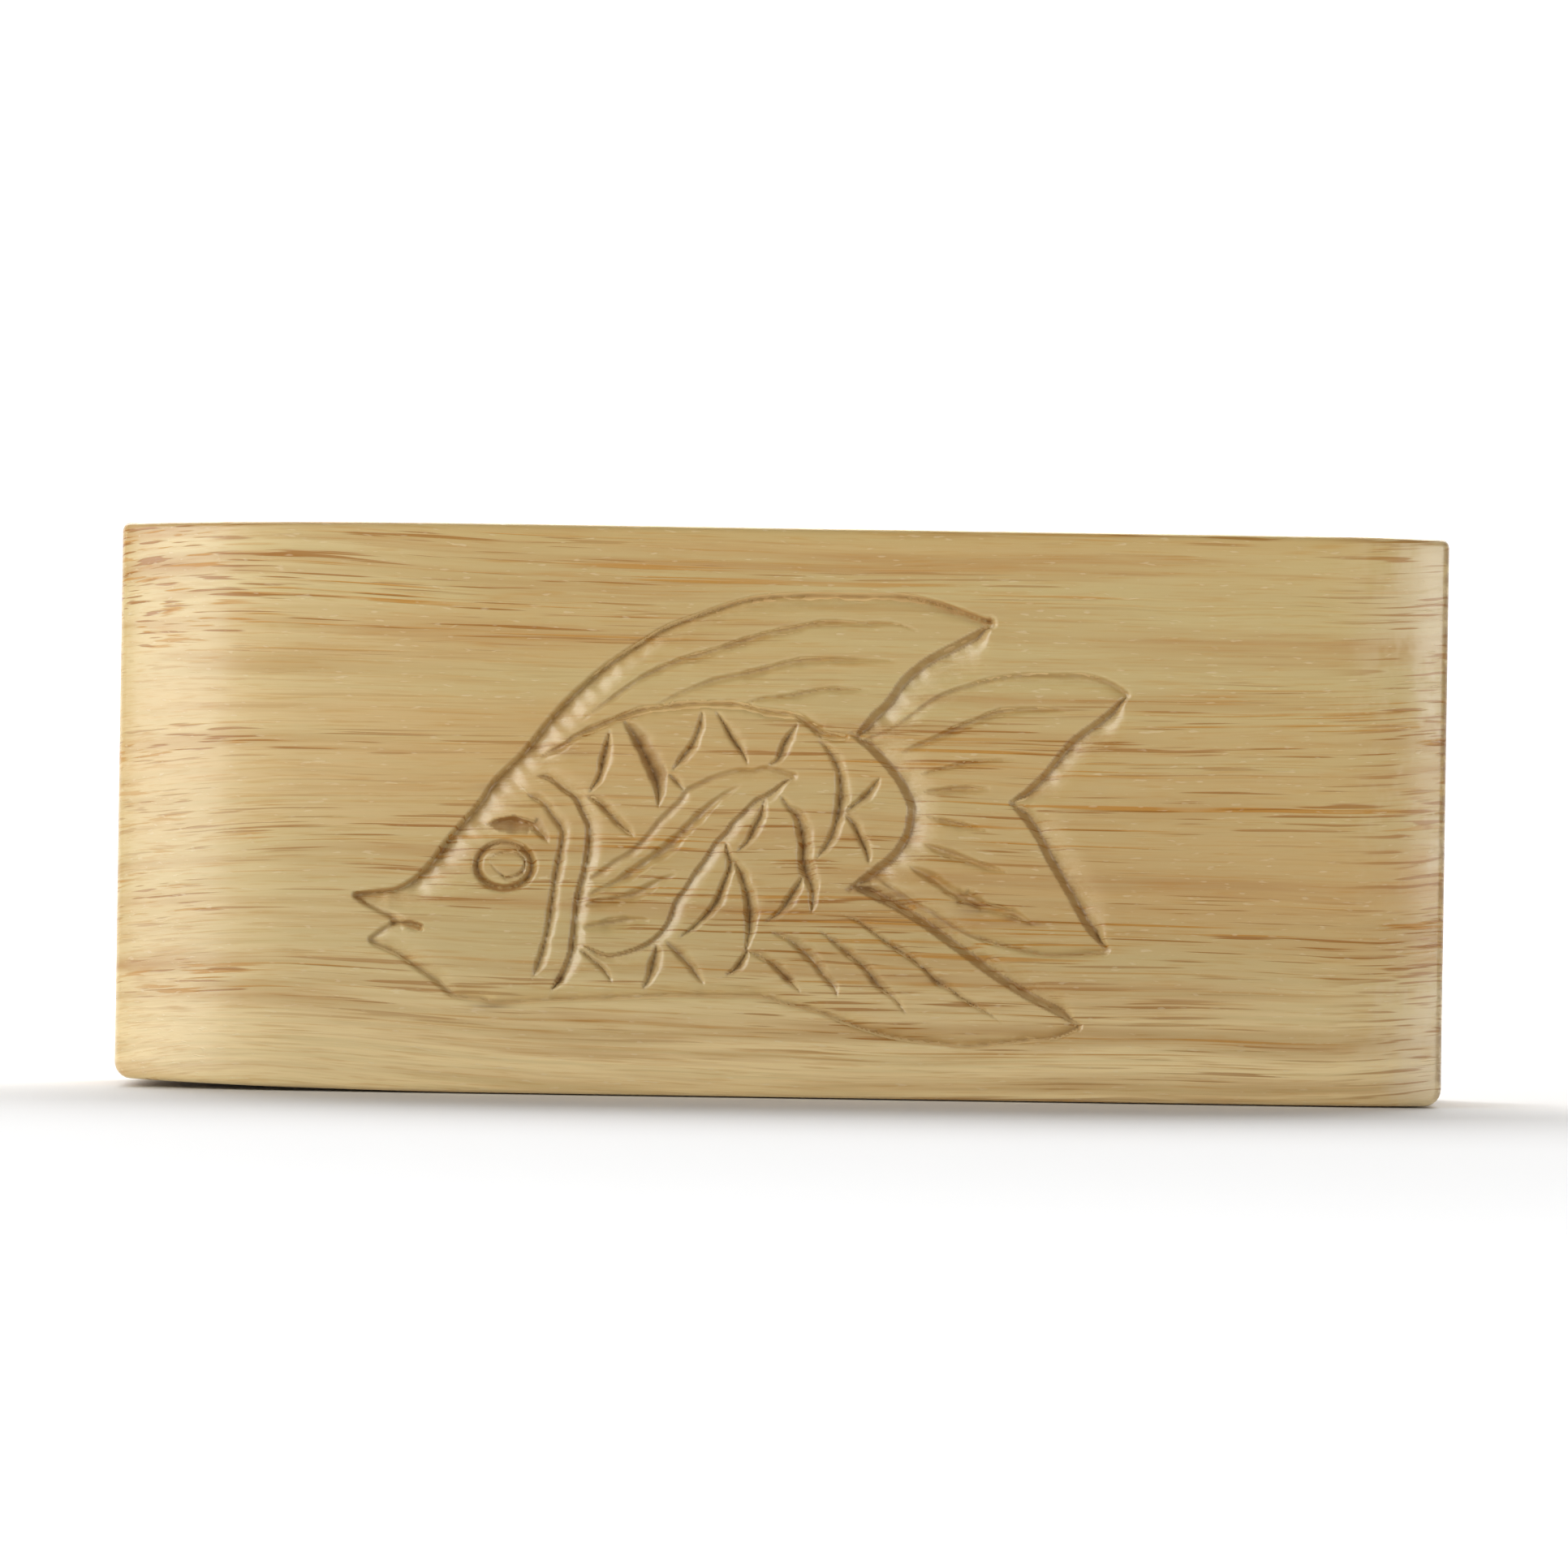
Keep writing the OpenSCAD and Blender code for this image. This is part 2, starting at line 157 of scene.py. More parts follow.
# Lines are drawn on the face from its middle, x along and z up. The fish looks towards -X.
# kind: "shoulder" has a thin wall outside and a rounded slope on the fish; "step" drops from a crest
# on the inner side and rises slowly outside; "cut" is a leaf-shaped V; "ray" is a soft shallow V.
fishOutline = [
    {"kind": "shoulder", "depth": 1.9, "slope": [4.5, 7, 8, 7.5, 6, 3.5, 2.5, 2.2, 2, 1.8, 1.6],
     "points": [[-64, -13.5], [-60, -13], [-57.5, -12.5], [-55, -11], [-52.5, -8.5], [-50, -5], [-47, -1.5],
                [-45, 1], [-43, 4], [-39, 8], [-35.5, 12.5], [-32, 16.5], [-27, 21], [-22, 24.5], [-18, 27],
                [-14.5, 28.5], [-7.5, 31], [-3, 32], [4, 32.5], [11, 32.5], [18, 32.5], [23.5, 31.5],
                [29.5, 29.5], [31.5, 29]]},
    {"kind": "step", "depth": 1.5, "wall": 1.25, "ground": 6,
     "points": [[31.5, 29], [26, 26], [21.5, 23.5], [18, 20.5], [15.5, 17], [13, 14.5], [10.5, 11]]},
    {"kind": "shoulder", "depth": 1.0, "slope": [2, 2, 1.6],
     "points": [[13, 11], [18.5, 14], [23.5, 17.5], [29, 19.5], [33, 20.5], [37.5, 21], [42, 21], [46, 21],
                [49.5, 20], [52, 18.5]]},
    {"kind": "step", "depth": 1.4, "wall": 1.0, "ground": 4,
     "points": [[52, 18.5], [48, 15], [43.5, 11.5], [39, 6], [34.5, 2]]},
    {"kind": "step", "depth": 1.6, "wall": 1.15, "ground": 4,
     "points": [[34.5, 2], [38, -2.5], [40.5, -7], [43.5, -12], [46.5, -17], [49.5, -20]]},
    {"kind": "shoulder", "depth": 1.0, "slope": [1.6, 2.2, 1.8],
     "points": [[49.5, -20], [45, -20.5], [40, -20.5], [35, -19.5], [31, -18.5], [27, -17], [23, -14.5],
                [20, -13], [17, -11], [14, -9]]},
    {"kind": "step", "depth": 1.6, "wall": 1.2, "ground": 3,
     "points": [[10.5, -11], [14.5, -13], [18.5, -15], [22.5, -17.5], [27.5, -21], [32.5, -24.5],
                [37.5, -27.5], [42.5, -30], [45.5, -31.5]]},
    {"kind": "shoulder", "depth": 1.3, "slope": [1.4, 1.6, 1.8, 2.2, 2.4, 2.6, 3.5],
     "points": [[45.5, -31.5], [42, -33], [37.5, -33.5], [33.5, -34], [29, -34.5], [23.5, -34], [19, -33.5],
                [14.5, -32.5], [10, -31], [6, -29.5], [1.5, -28.5], [-2.5, -27.5], [-9, -27.5], [-16, -27.5],
                [-24, -28], [-34, -28.5], [-42, -29], [-45, -28.5], [-49, -28], [-51.5, -26], [-54.5, -24],
                [-57.5, -22], [-61, -20.5], [-61.5, -20]]},
    {"kind": "shoulder", "depth": 1.0, "slope": [1.5, 2, 2.5],
     "points": [[-61.5, -20], [-59.5, -18.5], [-57.5, -17.5]]},
    {"kind": "shoulder", "depth": 1.0, "slope": [2.5, 2.5, 2.5],
     "points": [[-57.5, -17.5], [-58.5, -16.5], [-60.5, -15.5], [-62.5, -14.5], [-64, -13.5]]},
]
innerLines = [
    {"kind": "ray", "depth": 0.9, "width": 1.3, "points": [[-58.5, -17.5], [-57.5, -17.5], [-56, -17.5],
                                                           [-54, -18]]},
    {"kind": "step", "depth": 1.4, "wall": 1.2, "ground": 5, "side": 1,
     "points": [[10.5, 11.5], [13, 9.5], [15.5, 7], [17.5, 4.5], [19, 1.5], [19, -0.5], [18.5, -3],
                [16.5, -6], [14, -8], [10.5, -11]]},
    {"kind": "step", "depth": 1.1, "wall": 0.6, "ground": 2.5, "side": 1, "fade": [4, 2],
     "points": [[-39, 5], [-37, 4.5], [-35, 4], [-33, 2.5], [-31.5, 1.5], [-30.5, -0.5], [-29.5, -2.5],
                [-29.5, -5], [-30, -9], [-31, -13], [-31.5, -18], [-32, -22], [-33.5, -25.5], [-35, -28]]},
    {"kind": "cut", "depth": 0.65, "width": 1.8, "fade": [4, 4],
     "points": [[-39.5, 3.5], [-38, 2], [-36, 1], [-34.5, -1], [-33, -3], [-33, -5], [-33.5, -8],
                [-34, -11], [-34.5, -15], [-35, -18.5], [-36, -22.5], [-37.5, -26.5]]},
    {"kind": "shoulder", "depth": 0.8, "slope": [1.4, 1.6, 1.6], "side": 1,
     "points": [[2, 5.5], [-2, 6.5], [-4, 6], [-6.5, 6], [-10, 5], [-12, 4], [-14, 3], [-15, 1.5],
                [-18, -1.5], [-20, -4], [-22.5, -6.5], [-25, -8], [-27, -9.5], [-29, -10.5]]},
    {"kind": "step", "depth": 0.85, "wall": 0.55, "ground": 2.2, "side": 1,
     "points": [[2, 5.5], [0, 4.5], [-2, 3], [-4, 2], [-6, 0], [-7.5, -1.5], [-8.5, -3], [-10, -4.5],
                [-11.5, -7], [-13, -9], [-14.5, -11.5], [-16, -13.5], [-17, -16.5], [-18.5, -18.5],
                [-20.5, -20], [-23, -21], [-25.5, -21.5], [-27.5, -21], [-30, -20]]},
    {"kind": "ray", "depth": 0.7, "width": 1.5, "fade": [2, 1],
     "points": [[-39, 6.5], [-37, 7.5], [-33, 9.5], [-31, 11], [-26.5, 13], [-24, 14], [-21, 15],
                [-17.5, 15.5], [-13.5, 16], [-7, 16], [-2, 15], [2, 14.5], [4.5, 13], [6, 12], [8.5, 11.5],
                [10.5, 11.5]]},
]
scaleCuts = [
    [1.8, 0.9, [[-26, 12], [-26.5, 9.5], [-27, 7.5], [-27.5, 5], [-29, 2.5]]],
    [3.0, 1.2, [[-24, 13.5], [-22.5, 11.5], [-21, 9], [-20, 7], [-19, 5], [-18.5, 2.5], [-18.5, 0.5]]],
    [2.0, 0.9, [[-29.5, 2], [-27.5, 1], [-26, -0.5], [-24.5, -2], [-22, -4]]],
    [1.8, 0.8, [[-12, 15], [-12.5, 12.5], [-13.5, 10], [-15, 8], [-16.5, 6]]],
    [1.2, 0.6, [[-17, 5.5], [-15.5, 4], [-14.5, 3]]],
    [1.4, 0.8, [[-10, 15], [-9, 13.5], [-7.5, 11], [-6, 9], [-5, 7]]],
    [1.8, 0.8, [[2.5, 13.5], [0.5, 10.5], [-0.5, 8], [-2, 7]]],
    [2.4, 1.0, [[5.5, 11], [7, 9.5], [8.5, 7], [9, 4.5], [9, 2], [8.5, -1], [7.5, -4], [5.5, -7]]],
    [1.8, 0.8, [[15, 5.5], [13.5, 3.5], [12, 2], [9.5, 0]]],
    [1.8, 0.9, [[9.5, 0], [11, -1.5], [12, -3.5], [13, -5.5], [13.5, -7.5]]],
    [1.7, 0.8, [[-1.5, 3.5], [-2.5, 1.5], [-3, -0.5], [-4, -2.5], [-5, -4.5], [-6.5, -6]]],
    [2.8, 1.2, [[0, 2.5], [1, 1], [2.5, -0.5], [3, -2], [3.5, -4.5], [3.5, -7], [4, -9], [5, -11.5],
                [5, -15]]],
    [1.8, 0.8, [[4, -8.5], [3, -10.5], [1.5, -13], [0, -15], [-2, -16.5]]],
    [1.7, 0.9, [[-8.5, -3.5], [-8, -6], [-7.5, -8], [-8.5, -11], [-9.5, -13.5], [-11, -15.5],
                [-13, -17.5], [-15, -19]]],
    [2.4, 1.1, [[-7.5, -6.5], [-6, -9], [-5, -12], [-4.5, -15], [-4.5, -18], [-5, -21]]],
    [1.5, 0.8, [[-4.5, -20.5], [-6, -23], [-7, -24], [-8, -24.5]]],
    [1.8, 0.8, [[-4.5, -21], [-2, -22], [0, -23.5], [1.5, -25], [2.5, -26], [3.5, -27]]],
    [2.2, 0.8, [[-1, -18], [1.5, -19], [3.5, -20.5], [5.5, -22.5], [7, -24.5], [8.5, -26], [9, -27.5]]],
    [1.9, 0.8, [[6, -17.5], [8, -19], [10.5, -21], [13, -23], [15, -25.5], [17.5, -27.5], [19.5, -30]]],
    [1.5, 0.7, [[9.5, -15], [12.5, -16.5], [16, -19], [20, -21.5], [22.5, -23.5], [24, -25], [26, -26],
                [28, -27.5], [32.5, -30], [34, -31]]],
    [2.2, 0.9, [[-18.5, -19.5], [-18.5, -21], [-19, -23], [-19.5, -25], [-20.5, -27]]],
    [2.0, 0.8, [[-17, -19.5], [-15, -21.5], [-13.5, -23], [-12, -25], [-11, -26]]],
    [1.4, 0.6, [[-31, -20.5], [-29.5, -21.5], [-27.5, -23], [-26, -24.5], [-25, -26]]],
]
finRays = [
    [1.5, 0.55, [[-34, 10.5], [-32, 12], [-29.5, 14], [-26, 16.5], [-22.5, 19], [-20, 20.5], [-15.5, 22.5],
                 [-12, 23.5], [-3, 26.5], [1.5, 27.5], [6, 28.5], [12, 28.5], [17, 28.5], [20.5, 27.5]]],
    [1.5, 0.5, [[-19.5, 15.5], [-15.5, 17.5], [-10.5, 19.5], [-4, 21], [1.5, 22.5], [6.5, 23], [11, 23],
                [17, 23]]],
    [1.2, 0.4, [[-6, 16], [-3, 17], [1.5, 17.5], [6.5, 18.5], [10, 18.5], [13.5, 18.5]]],
    [2.2, 0.7, [[-6, 4], [-8.5, 2.5], [-11, 0.5], [-14, -2.5], [-17, -5.5], [-20.5, -8], [-24, -10.5],
                [-27, -12], [-30, -13.5]]],
    [2.0, 0.55, [[-15.5, -9.5], [-18, -10.5], [-21.5, -12.5], [-25, -13.5], [-28, -14], [-30, -15]]],
    [2.2, 0.55, [[-19.5, -16.5], [-22, -16.5], [-25, -17], [-28, -17.5], [-30.5, -18]]],
    [1.6, 0.55, [[16, 8], [20, 10], [24.5, 12], [29, 14], [33, 15.5], [37.5, 16], [43.5, 16]]],
    [1.0, 0.35, [[18, 5], [23, 6.5], [29, 8], [35.5, 8.5]]],
    [1.4, 0.5, [[19, 3], [23, 3.5], [27.5, 4], [32, 4]]],
    [1.2, 0.45, [[19.5, 0.5], [23, -0.5], [27.5, -1.5], [32, -2.5]]],
    [1.6, 0.55, [[19, -3.5], [23.5, -5], [28, -6.5], [31, -7.5], [34.5, -8.5]]],
    [2.2, 0.7, [[17.5, -6.5], [20, -8], [23, -9.5], [26, -11.5], [28.5, -12.5], [31, -13.5], [35, -14.5],
                [39, -16.5]]],
]
pupil = [0.9, 0.4, [[-43.9, -8], [-42.8, -9.4], [-41.2, -10.4], [-39, -9.6], [-38.6, -7.6], [-40.6, -6.6],
                    [-43, -7], [-43.9, -8]]]
brow = [3.0, 1.0, [[-47, -3], [-44.5, -2.5], [-42, -2], [-40, -2], [-37.5, -2.5], [-36.5, -3.5], [-35, -5]]]
eye = {"x": -41.2, "z": -8.6, "wide": 4.1, "high": 3.4, "groove": 1.5, "depth": 1.3}
# darker patches, partly stain in the wood and partly painted shade in and beside the cuts: x, z, radius
# along, radius up, strength
stainAndShadeSpots = [[29, -13.6, 2.2, 1.2, 0.6], [13, -11.2, 2.2, 0.9, 0.7], [17, -12.6, 3, 0.7, 0.5],
          [35, -15.3, 1.2, 0.5, 0.5], [38, -16.2, 1.5, 0.4, 0.5], [24, -25, 1.6, 0.5, 0.6],
          [-32.6, -25.4, 0.7, 0.5, 0.9], [-44, 3, 2, 0.6, 0.4], [7.8, -25.3, 0.8, 0.5, 0.5],
          [1.6, -24.8, 1, 0.5, 0.5], [15, -25.3, 1.2, 0.5, 0.4], [22.5, 20.4, 2, 0.3, 0.4],
          [-43, -29.8, 3, 0.5, 0.6], [-31, 8.5, 3, 0.4, 0.3], [9, 0.3, 1.2, 0.5, 0.5]]
lightSide = np.array([-0.94, 0.34])
wideCut = 3.0  # cuts as wide as this get painted shade all the way across


def catmull(points, spacing):
    p = np.array(points, float) * (0.991, 1)
    p = np.vstack([2 * p[0] - p[1], p, 2 * p[-1] - p[-2]])
    out = []
    for i in range(1, len(p) - 2):
        n = max(2, int(np.linalg.norm(p[i + 1] - p[i]) / spacing))
        t = (np.arange(n) / n)[:, None]
        a, b, c, d = p[i - 1], p[i], p[i + 1], p[i + 2]
        out.append(0.5 * (2 * b + (c - a) * t + (2 * a - 5 * b + 4 * c - d) * t ** 2
                          + (3 * b - a - 3 * c + d) * t ** 3))
    return np.vstack(out + [p[-2][None]])


# signed offset (positive left of the path), length along it and the normal there
def nearest(path, spots):
    a, d = path[:-1], np.diff(path, axis=0)
    lengths = np.linalg.norm(d, axis=1)
    run = np.concatenate([[0], np.cumsum(lengths)])
    rel = spots[:, None, :] - a[None]
    u = np.clip((rel * d[None]).sum(2) / (lengths ** 2)[None], 0, 1)
    gap = rel - u[..., None] * d[None]
    dist = np.linalg.norm(gap, axis=2)
    k = dist.argmin(1)
    i = np.arange(len(spots))
    normal = np.stack([-d[k, 1], d[k, 0]], 1) / lengths[k][:, None]
    sign = np.where((gap[i, k] * normal).sum(1) >= 0, 1.0, -1.0)
    first = (rel[:, 0] * d[0]).sum(1) / lengths[0]
    last = ((spots - path[-1]) * d[-1]).sum(1) / lengths[-1]
    past = np.maximum(np.where(k == 0, -first, 0), np.where(k == len(d) - 1, last, 0))
    return sign * dist[i, k], run[k] + u[i, k] * lengths[k], normal, run[-1], np.maximum(past, 0)


def insideLoop(loop, spots):
    inside = np.zeros(len(spots), bool)
    x, z = spots[:, 0], spots[:, 1]
    for (x1, z1), (x2, z2) in zip(loop, np.roll(loop, -1, axis=0)):
        if z1 == z2:
            continue
        cross = ((z1 > z) != (z2 > z)) & (x < (x2 - x1) * (z - z1) / (z2 - z1) + x1)
        inside ^= cross
    return inside


def smoothStep(v):
    v = np.clip(v, 0, 1)
    return v * v * (3 - 2 * v)


def allLines():
    made = []
    for line in fishOutline:
        made.append(dict(line, outline=True, path=catmull(line["points"], 0.4)))
    for line in innerLines:
        made.append(dict(line, path=catmull(line["points"], 0.4)))
    for width, depth, points in scaleCuts + [brow, pupil]:
        made.append({"kind": "cut", "width": width, "depth": depth, "leaf": True,
                     "even": width >= wideCut, "path": catmull(points, 0.4)})
    for width, depth, points in finRays:
        made.append({"kind": "ray", "width": width, "depth": depth, "leaf": True,
                     "path": catmull(points, 0.4)})
    return made


lines = allLines()
bodyLoop = np.vstack([catmull(fishOutline[i]["points"], 0.5) for i in (0, 1)]
                     + [np.array([[10.5, 11.5]])]
                     + [catmull(fishOutline[i]["points"], 0.5) for i in (2, 3, 4, 5)]
                     + [catmull(fishOutline[i]["points"], 0.5) for i in (6, 7, 8, 9)])


def reach(line):
    if line["kind"] == "shoulder":
        return max(line["slope"]) + 0.8
    if line["kind"] == "step":
        return line["wall"] + line["ground"] + 0.4
    return line["width"] / 2 + 0.4


def fineReach(line):
    if line["kind"] == "shoulder":
        return 1.6
    if line["kind"] == "step":
        return line["wall"] + 0.7
    return line["width"] / 2 + 0.35


# How the tool leaves the wood. "Steep" is the share of a cut's width on the side nearer the light.
gouge = {"cutSteep": 0.32, "raySteep": 0.42, "cutDeep": 1.6, "rayDeep": 1.45, "runOut": 0.9,
         "wobble": 0.10, "ripple": 0.06, "outerWall": 0.7}


def handStrength(line, number, along, total, past):
    strength = 1 + gouge["wobble"] * np.sin(along * 0.9 + number)
    strength = strength + gouge["ripple"] * np.sin(along * 2.3 + 2 * number)
    strength = strength * (1 - smoothStep(past / gouge["runOut"]))
    if line.get("leaf"):
        strength = strength * np.sin(np.pi * np.clip(along / total, 0.004, 0.996)) ** 0.55
    if "fade" in line:
        a, b = line["fade"]
        strength = strength * smoothStep(along / a) * smoothStep((total - along) / b)
    return strength


# each profile gives the height, a painted highlight (with bare wood there too) on slopes facing the light,
# and painted shade on walls turned away from it
def cutProfile(line, off, normal, strength):
    soft = line["kind"] == "ray"
    nearLight = off * (normal @ lightSide) > 0
    steep = gouge["raySteep"] if soft else gouge["cutSteep"]
    half = line["width"] * np.where(nearLight, steep, 1 - steep) * np.clip(strength, 0.1, 1.2)
    u = np.clip(np.abs(off) / half, 0, 1)
    # painted shade, strongest on the wall turned away from the light
    shade = np.where(nearLight, 1, 0.45) * (1 - u) * strength
    if line.get("even"):
        shade = np.clip(1.3 * (1 - u) ** 0.4 * strength, 0, 1.2)
    if soft:
        return -gouge["rayDeep"] * line["depth"] * strength * (1 - u * u) ** 1.6, np.zeros(len(u)), shade
    h = -gouge["cutDeep"] * line["depth"] * strength * (1 - u) ** np.where(nearLight, 1.0, 1.25)
    return h, np.where(nearLight, 0, (1 - u) ** 0.5), shade


def stepProfile(line, q, along, total, strength):
    tip = np.minimum(along, total - along)
    wall = line["wall"] * np.clip(tip / 3, 0.5, 1)
    ground = line["ground"] * np.clip(tip / 6, 0.1, 1)
    strength = strength * np.clip(0.35 + tip / 4, 0, 1)
    down = smoothStep(q / wall) * 0.45 + np.clip(q / wall, 0, 1) * 0.55
    rise = np.clip((q - wall) / ground, 0, 1)
    h = -line["depth"] * strength * np.where(q < wall, down, (1 - rise) ** 1.8)
    # painted shade on the wall, painted highlight on the ground rising towards the light
    onWall = (q > 0) & (q < wall * 1.2)
    rising = (q > wall) & (rise < 0.8)
    return (np.where(q < 0, 0, h), np.where(rising, 0.7 * (1 - rise), 0),
            np.where(onWall, 0.85 * np.clip(1.3 * strength, 0, 1), 0))


def shoulderProfile(line, q, share, facesLight, strength):
    slope = np.interp(share, np.linspace(0, 1, len(line["slope"])), line["slope"])
    strength = strength * np.clip(0.62 + 0.055 * slope, 0, 1)
    outer = smoothStep(1 - q / gouge["outerWall"])
    inner = np.clip(1 + q / slope, 0, 1) ** 2.1
    h = -line["depth"] * strength * np.where(q > 0, outer, inner)
    # painted shade along the outer wall, painted highlight on the slope facing the light
    wall = np.clip(1 - np.abs(q - 0.1) / 0.55, 0, 1) * np.clip(1.5 * strength, 0, 1)
    onSlope = (q < -0.3) & (q > -slope * 0.8) & facesLight
    return h, np.where(onSlope, 0.55 * (1 + q / slope), 0), 0.8 * wall


# carving height at each spot, with the painted highlight, the painted shade and the stain-and-shade patches
# there
def relief(spots):
    depth = np.zeros(len(spots))
    lit = np.zeros(len(spots))
    dark = np.zeros(len(spots))
    inside = insideLoop(bodyLoop, spots)
    for number, line in enumerate(lines):
        r = reach(line)
        low, high = line["path"].min(0) - r, line["path"].max(0) + r
        near = np.nonzero(((spots > low) & (spots < high)).all(1))[0]
        if not len(near):
            continue
        off, along, normal, total, past = nearest(line["path"], spots[near])
        close = np.abs(off) < r
        near, off, along, normal, past = near[close], off[close], along[close], normal[close], past[close]
        strength = handStrength(line, number, along, total, past)
        if line.get("outline"):
            q = np.where(inside[near], -np.abs(off), np.abs(off))  # positive outside the fish
        else:
            q = off * line.get("side", 1) * (1 if line["kind"] == "step" else -1)
        if line["kind"] == "step":
            h, highlightAndTorn, shade = stepProfile(line, q, along, total, strength)
        elif line["kind"] == "shoulder":
            facesLight = (normal @ lightSide) * np.sign(off) < 0
            h, highlightAndTorn, shade = shoulderProfile(line, q, along / total, facesLight, strength)
        else:
            h, highlightAndTorn, shade = cutProfile(line, off, normal, strength)
        here = h < depth[near]
        depth[near] = np.minimum(depth[near], h)
        lit[near] = np.maximum(lit[near], highlightAndTorn)
        dark[near[here]] = np.maximum(dark[near[here]], shade[here])
    # the eye: an oval groove, with painted shade in it, round a pupil cut in flat facets
    ex, ez = spots[:, 0] - eye["x"], spots[:, 1] - eye["z"]
    oval = np.hypot(ex / eye["wide"], ez / eye["high"])
    size = (eye["wide"] + eye["high"]) / 2
    ring = np.abs(oval - 1) * size
    u = np.clip(1 - ring / (eye["groove"] / 2), 0, 1)
    h = -eye["depth"] * u ** 0.9
    dark = np.maximum(dark, np.clip(1.5 * u, 0, 0.9))
    depth = np.where(oval < 1.4, np.minimum(depth, h), depth)
    # darker patches, partly stain and partly painted shade
    stainAndShade = np.zeros(len(spots))
    for x, z, rx, rz, s in stainAndShadeSpots:
        d = np.hypot((spots[:, 0] - x) / rx, (spots[:, 1] - z) / rz)
        stainAndShade = np.maximum(stainAndShade, s * np.exp(-d ** 2))
    return depth, lit, dark, stainAndShade


def node(tree, kind, **values):
    made = tree.nodes.new(kind)
    for key, value in values.items():
        setattr(made, key, value)
    return made


def feed(tree, target, value):
    if isinstance(value, bpy.types.NodeSocket):
        tree.links.new(value, target)
    else:
        target.default_value = value


def mapped(tree, vector, scale, place=(0, 0, 0), turn=(0, 0, 0)):
    m = node(tree, "ShaderNodeMapping")
    feed(tree, m.inputs["Vector"], vector)
    m.inputs["Location"].default_value = place
    m.inputs["Rotation"].default_value = turn
    m.inputs["Scale"].default_value = scale
    return m.outputs["Vector"]


def grainNoise(tree, vector, scale, detail=2.0, rough=0.5):
    n = node(tree, "ShaderNodeTexNoise")
    feed(tree, n.inputs["Vector"], vector)
    n.inputs["Scale"].default_value = scale
    n.inputs["Detail"].default_value = detail
    n.inputs["Roughness"].default_value = rough
    return n.outputs["Fac"]


def sums(tree, operation, a, b=0.0):
    m = node(tree, "ShaderNodeMath", operation=operation)
    feed(tree, m.inputs[0], a)
    feed(tree, m.inputs[1], b)
    return m.outputs[0]


def between(tree, value, low, high, outLow=0.0, outHigh=1.0):
    m = node(tree, "ShaderNodeMapRange", interpolation_type="SMOOTHSTEP")
    feed(tree, m.inputs["Value"], value)
    m.inputs["From Min"].default_value = low
    m.inputs["From Max"].default_value = high
    m.inputs["To Min"].default_value = outLow
    m.inputs["To Max"].default_value = outHigh
    return m.outputs["Result"]


def blendColour(tree, share, a, b):
    m = node(tree, "ShaderNodeMix", data_type="RGBA", blend_type="MIX", clamp_factor=True)
    feed(tree, m.inputs["Factor"], share)
    feed(tree, m.inputs[6], a)
    feed(tree, m.inputs[7], b)
    return m.outputs[2]


def linear(r, g, b):
    return tuple(((c / 255) / 12.92 if c / 255 <= 0.04045 else ((c / 255 + 0.055) / 1.055) ** 2.4)
                 for c in (r, g, b)) + (1.0,)


def tinted(tree, colour, mark, share, towards):
    return blendColour(tree, sums(tree, "MULTIPLY", mark, share), colour, linear(*towards))


woodLooks = {
    "frontWood": {"pale": (205, 181, 122), "golden": (206, 169, 106), "warm": (188, 144, 80),
                  "line": (192, 130, 18), "pore": (162, 102, 0), "place": (0.0, 0.0, 0.0),
                  "turn": (0, 0, 0), "rough": 0.36, "lines": 1.0, "carved": True},
    "backWood": {"pale": (202, 178, 120), "golden": (202, 165, 103), "warm": (183, 140, 77),
                 "line": (174, 115, 42), "pore": (146, 88, 22), "place": (0.7, 0.31, 0.9),
                 "turn": (0, 0, 0), "rough": 0.4, "lines": 1.0},
    "topRailWood": {"pale": (206, 182, 125), "golden": (208, 171, 110), "warm": (189, 148, 86),
                    "line": (178, 120, 46), "pore": (150, 92, 24), "place": (1.3, 0.8, 0.2),
                    "turn": (0, 0, 0), "rough": 0.38, "lines": 0.9},
    "bottomRailWood": {"pale": (203, 178, 121), "golden": (203, 165, 104), "warm": (184, 142, 80),
                       "line": (174, 115, 42), "pore": (146, 88, 22), "place": (2.3, 1.8, 1.2),
                       "turn": (0, 0, 0), "rough": 0.42, "lines": 0.9},
    "leftEndWood": {"pale": (203, 178, 122), "golden": (203, 166, 106), "warm": (183, 142, 82),
                    "line": (174, 116, 46), "pore": (146, 90, 26), "place": (0.5, 2.8, 0.4),
                    "turn": (0, math.pi / 2, 0), "rough": 0.4, "lines": 0.9},
    "rightEndWood": {"pale": (203, 178, 122), "golden": (203, 166, 106), "warm": (183, 142, 82),
                     "line": (174, 116, 46), "pore": (146, 90, 26), "place": (3.5, 0.8, 2.4),
                     "turn": (0, math.pi / 2, 0), "rough": 0.4, "lines": 0.9},
    "stickWood": {"pale": (152, 104, 64), "golden": (138, 90, 52), "warm": (116, 72, 40),
                  "line": (88, 50, 26), "pore": (58, 32, 16), "place": (0.2, 4.1, 0.6),
                  "turn": (0, 0, 0), "rough": 0.32, "lines": 0.8},
    "dowelWood": {"pale": (166, 124, 80), "golden": (150, 106, 64), "warm": (130, 88, 50),
                  "line": (100, 62, 34), "pore": (72, 44, 24), "place": (0.9, 1.1, 3.6),
                  "turn": (0, 0, math.pi / 2), "rough": 0.45, "lines": 0.8},
}
# the pale fleck colour is for painted glints on open fibres
oiled = {"coat": 0.6, "coatRoughness": 0.22, "bump": 0.5, "bumpDistance": 0.00012,
         "glintFleck": (240, 222, 182)}

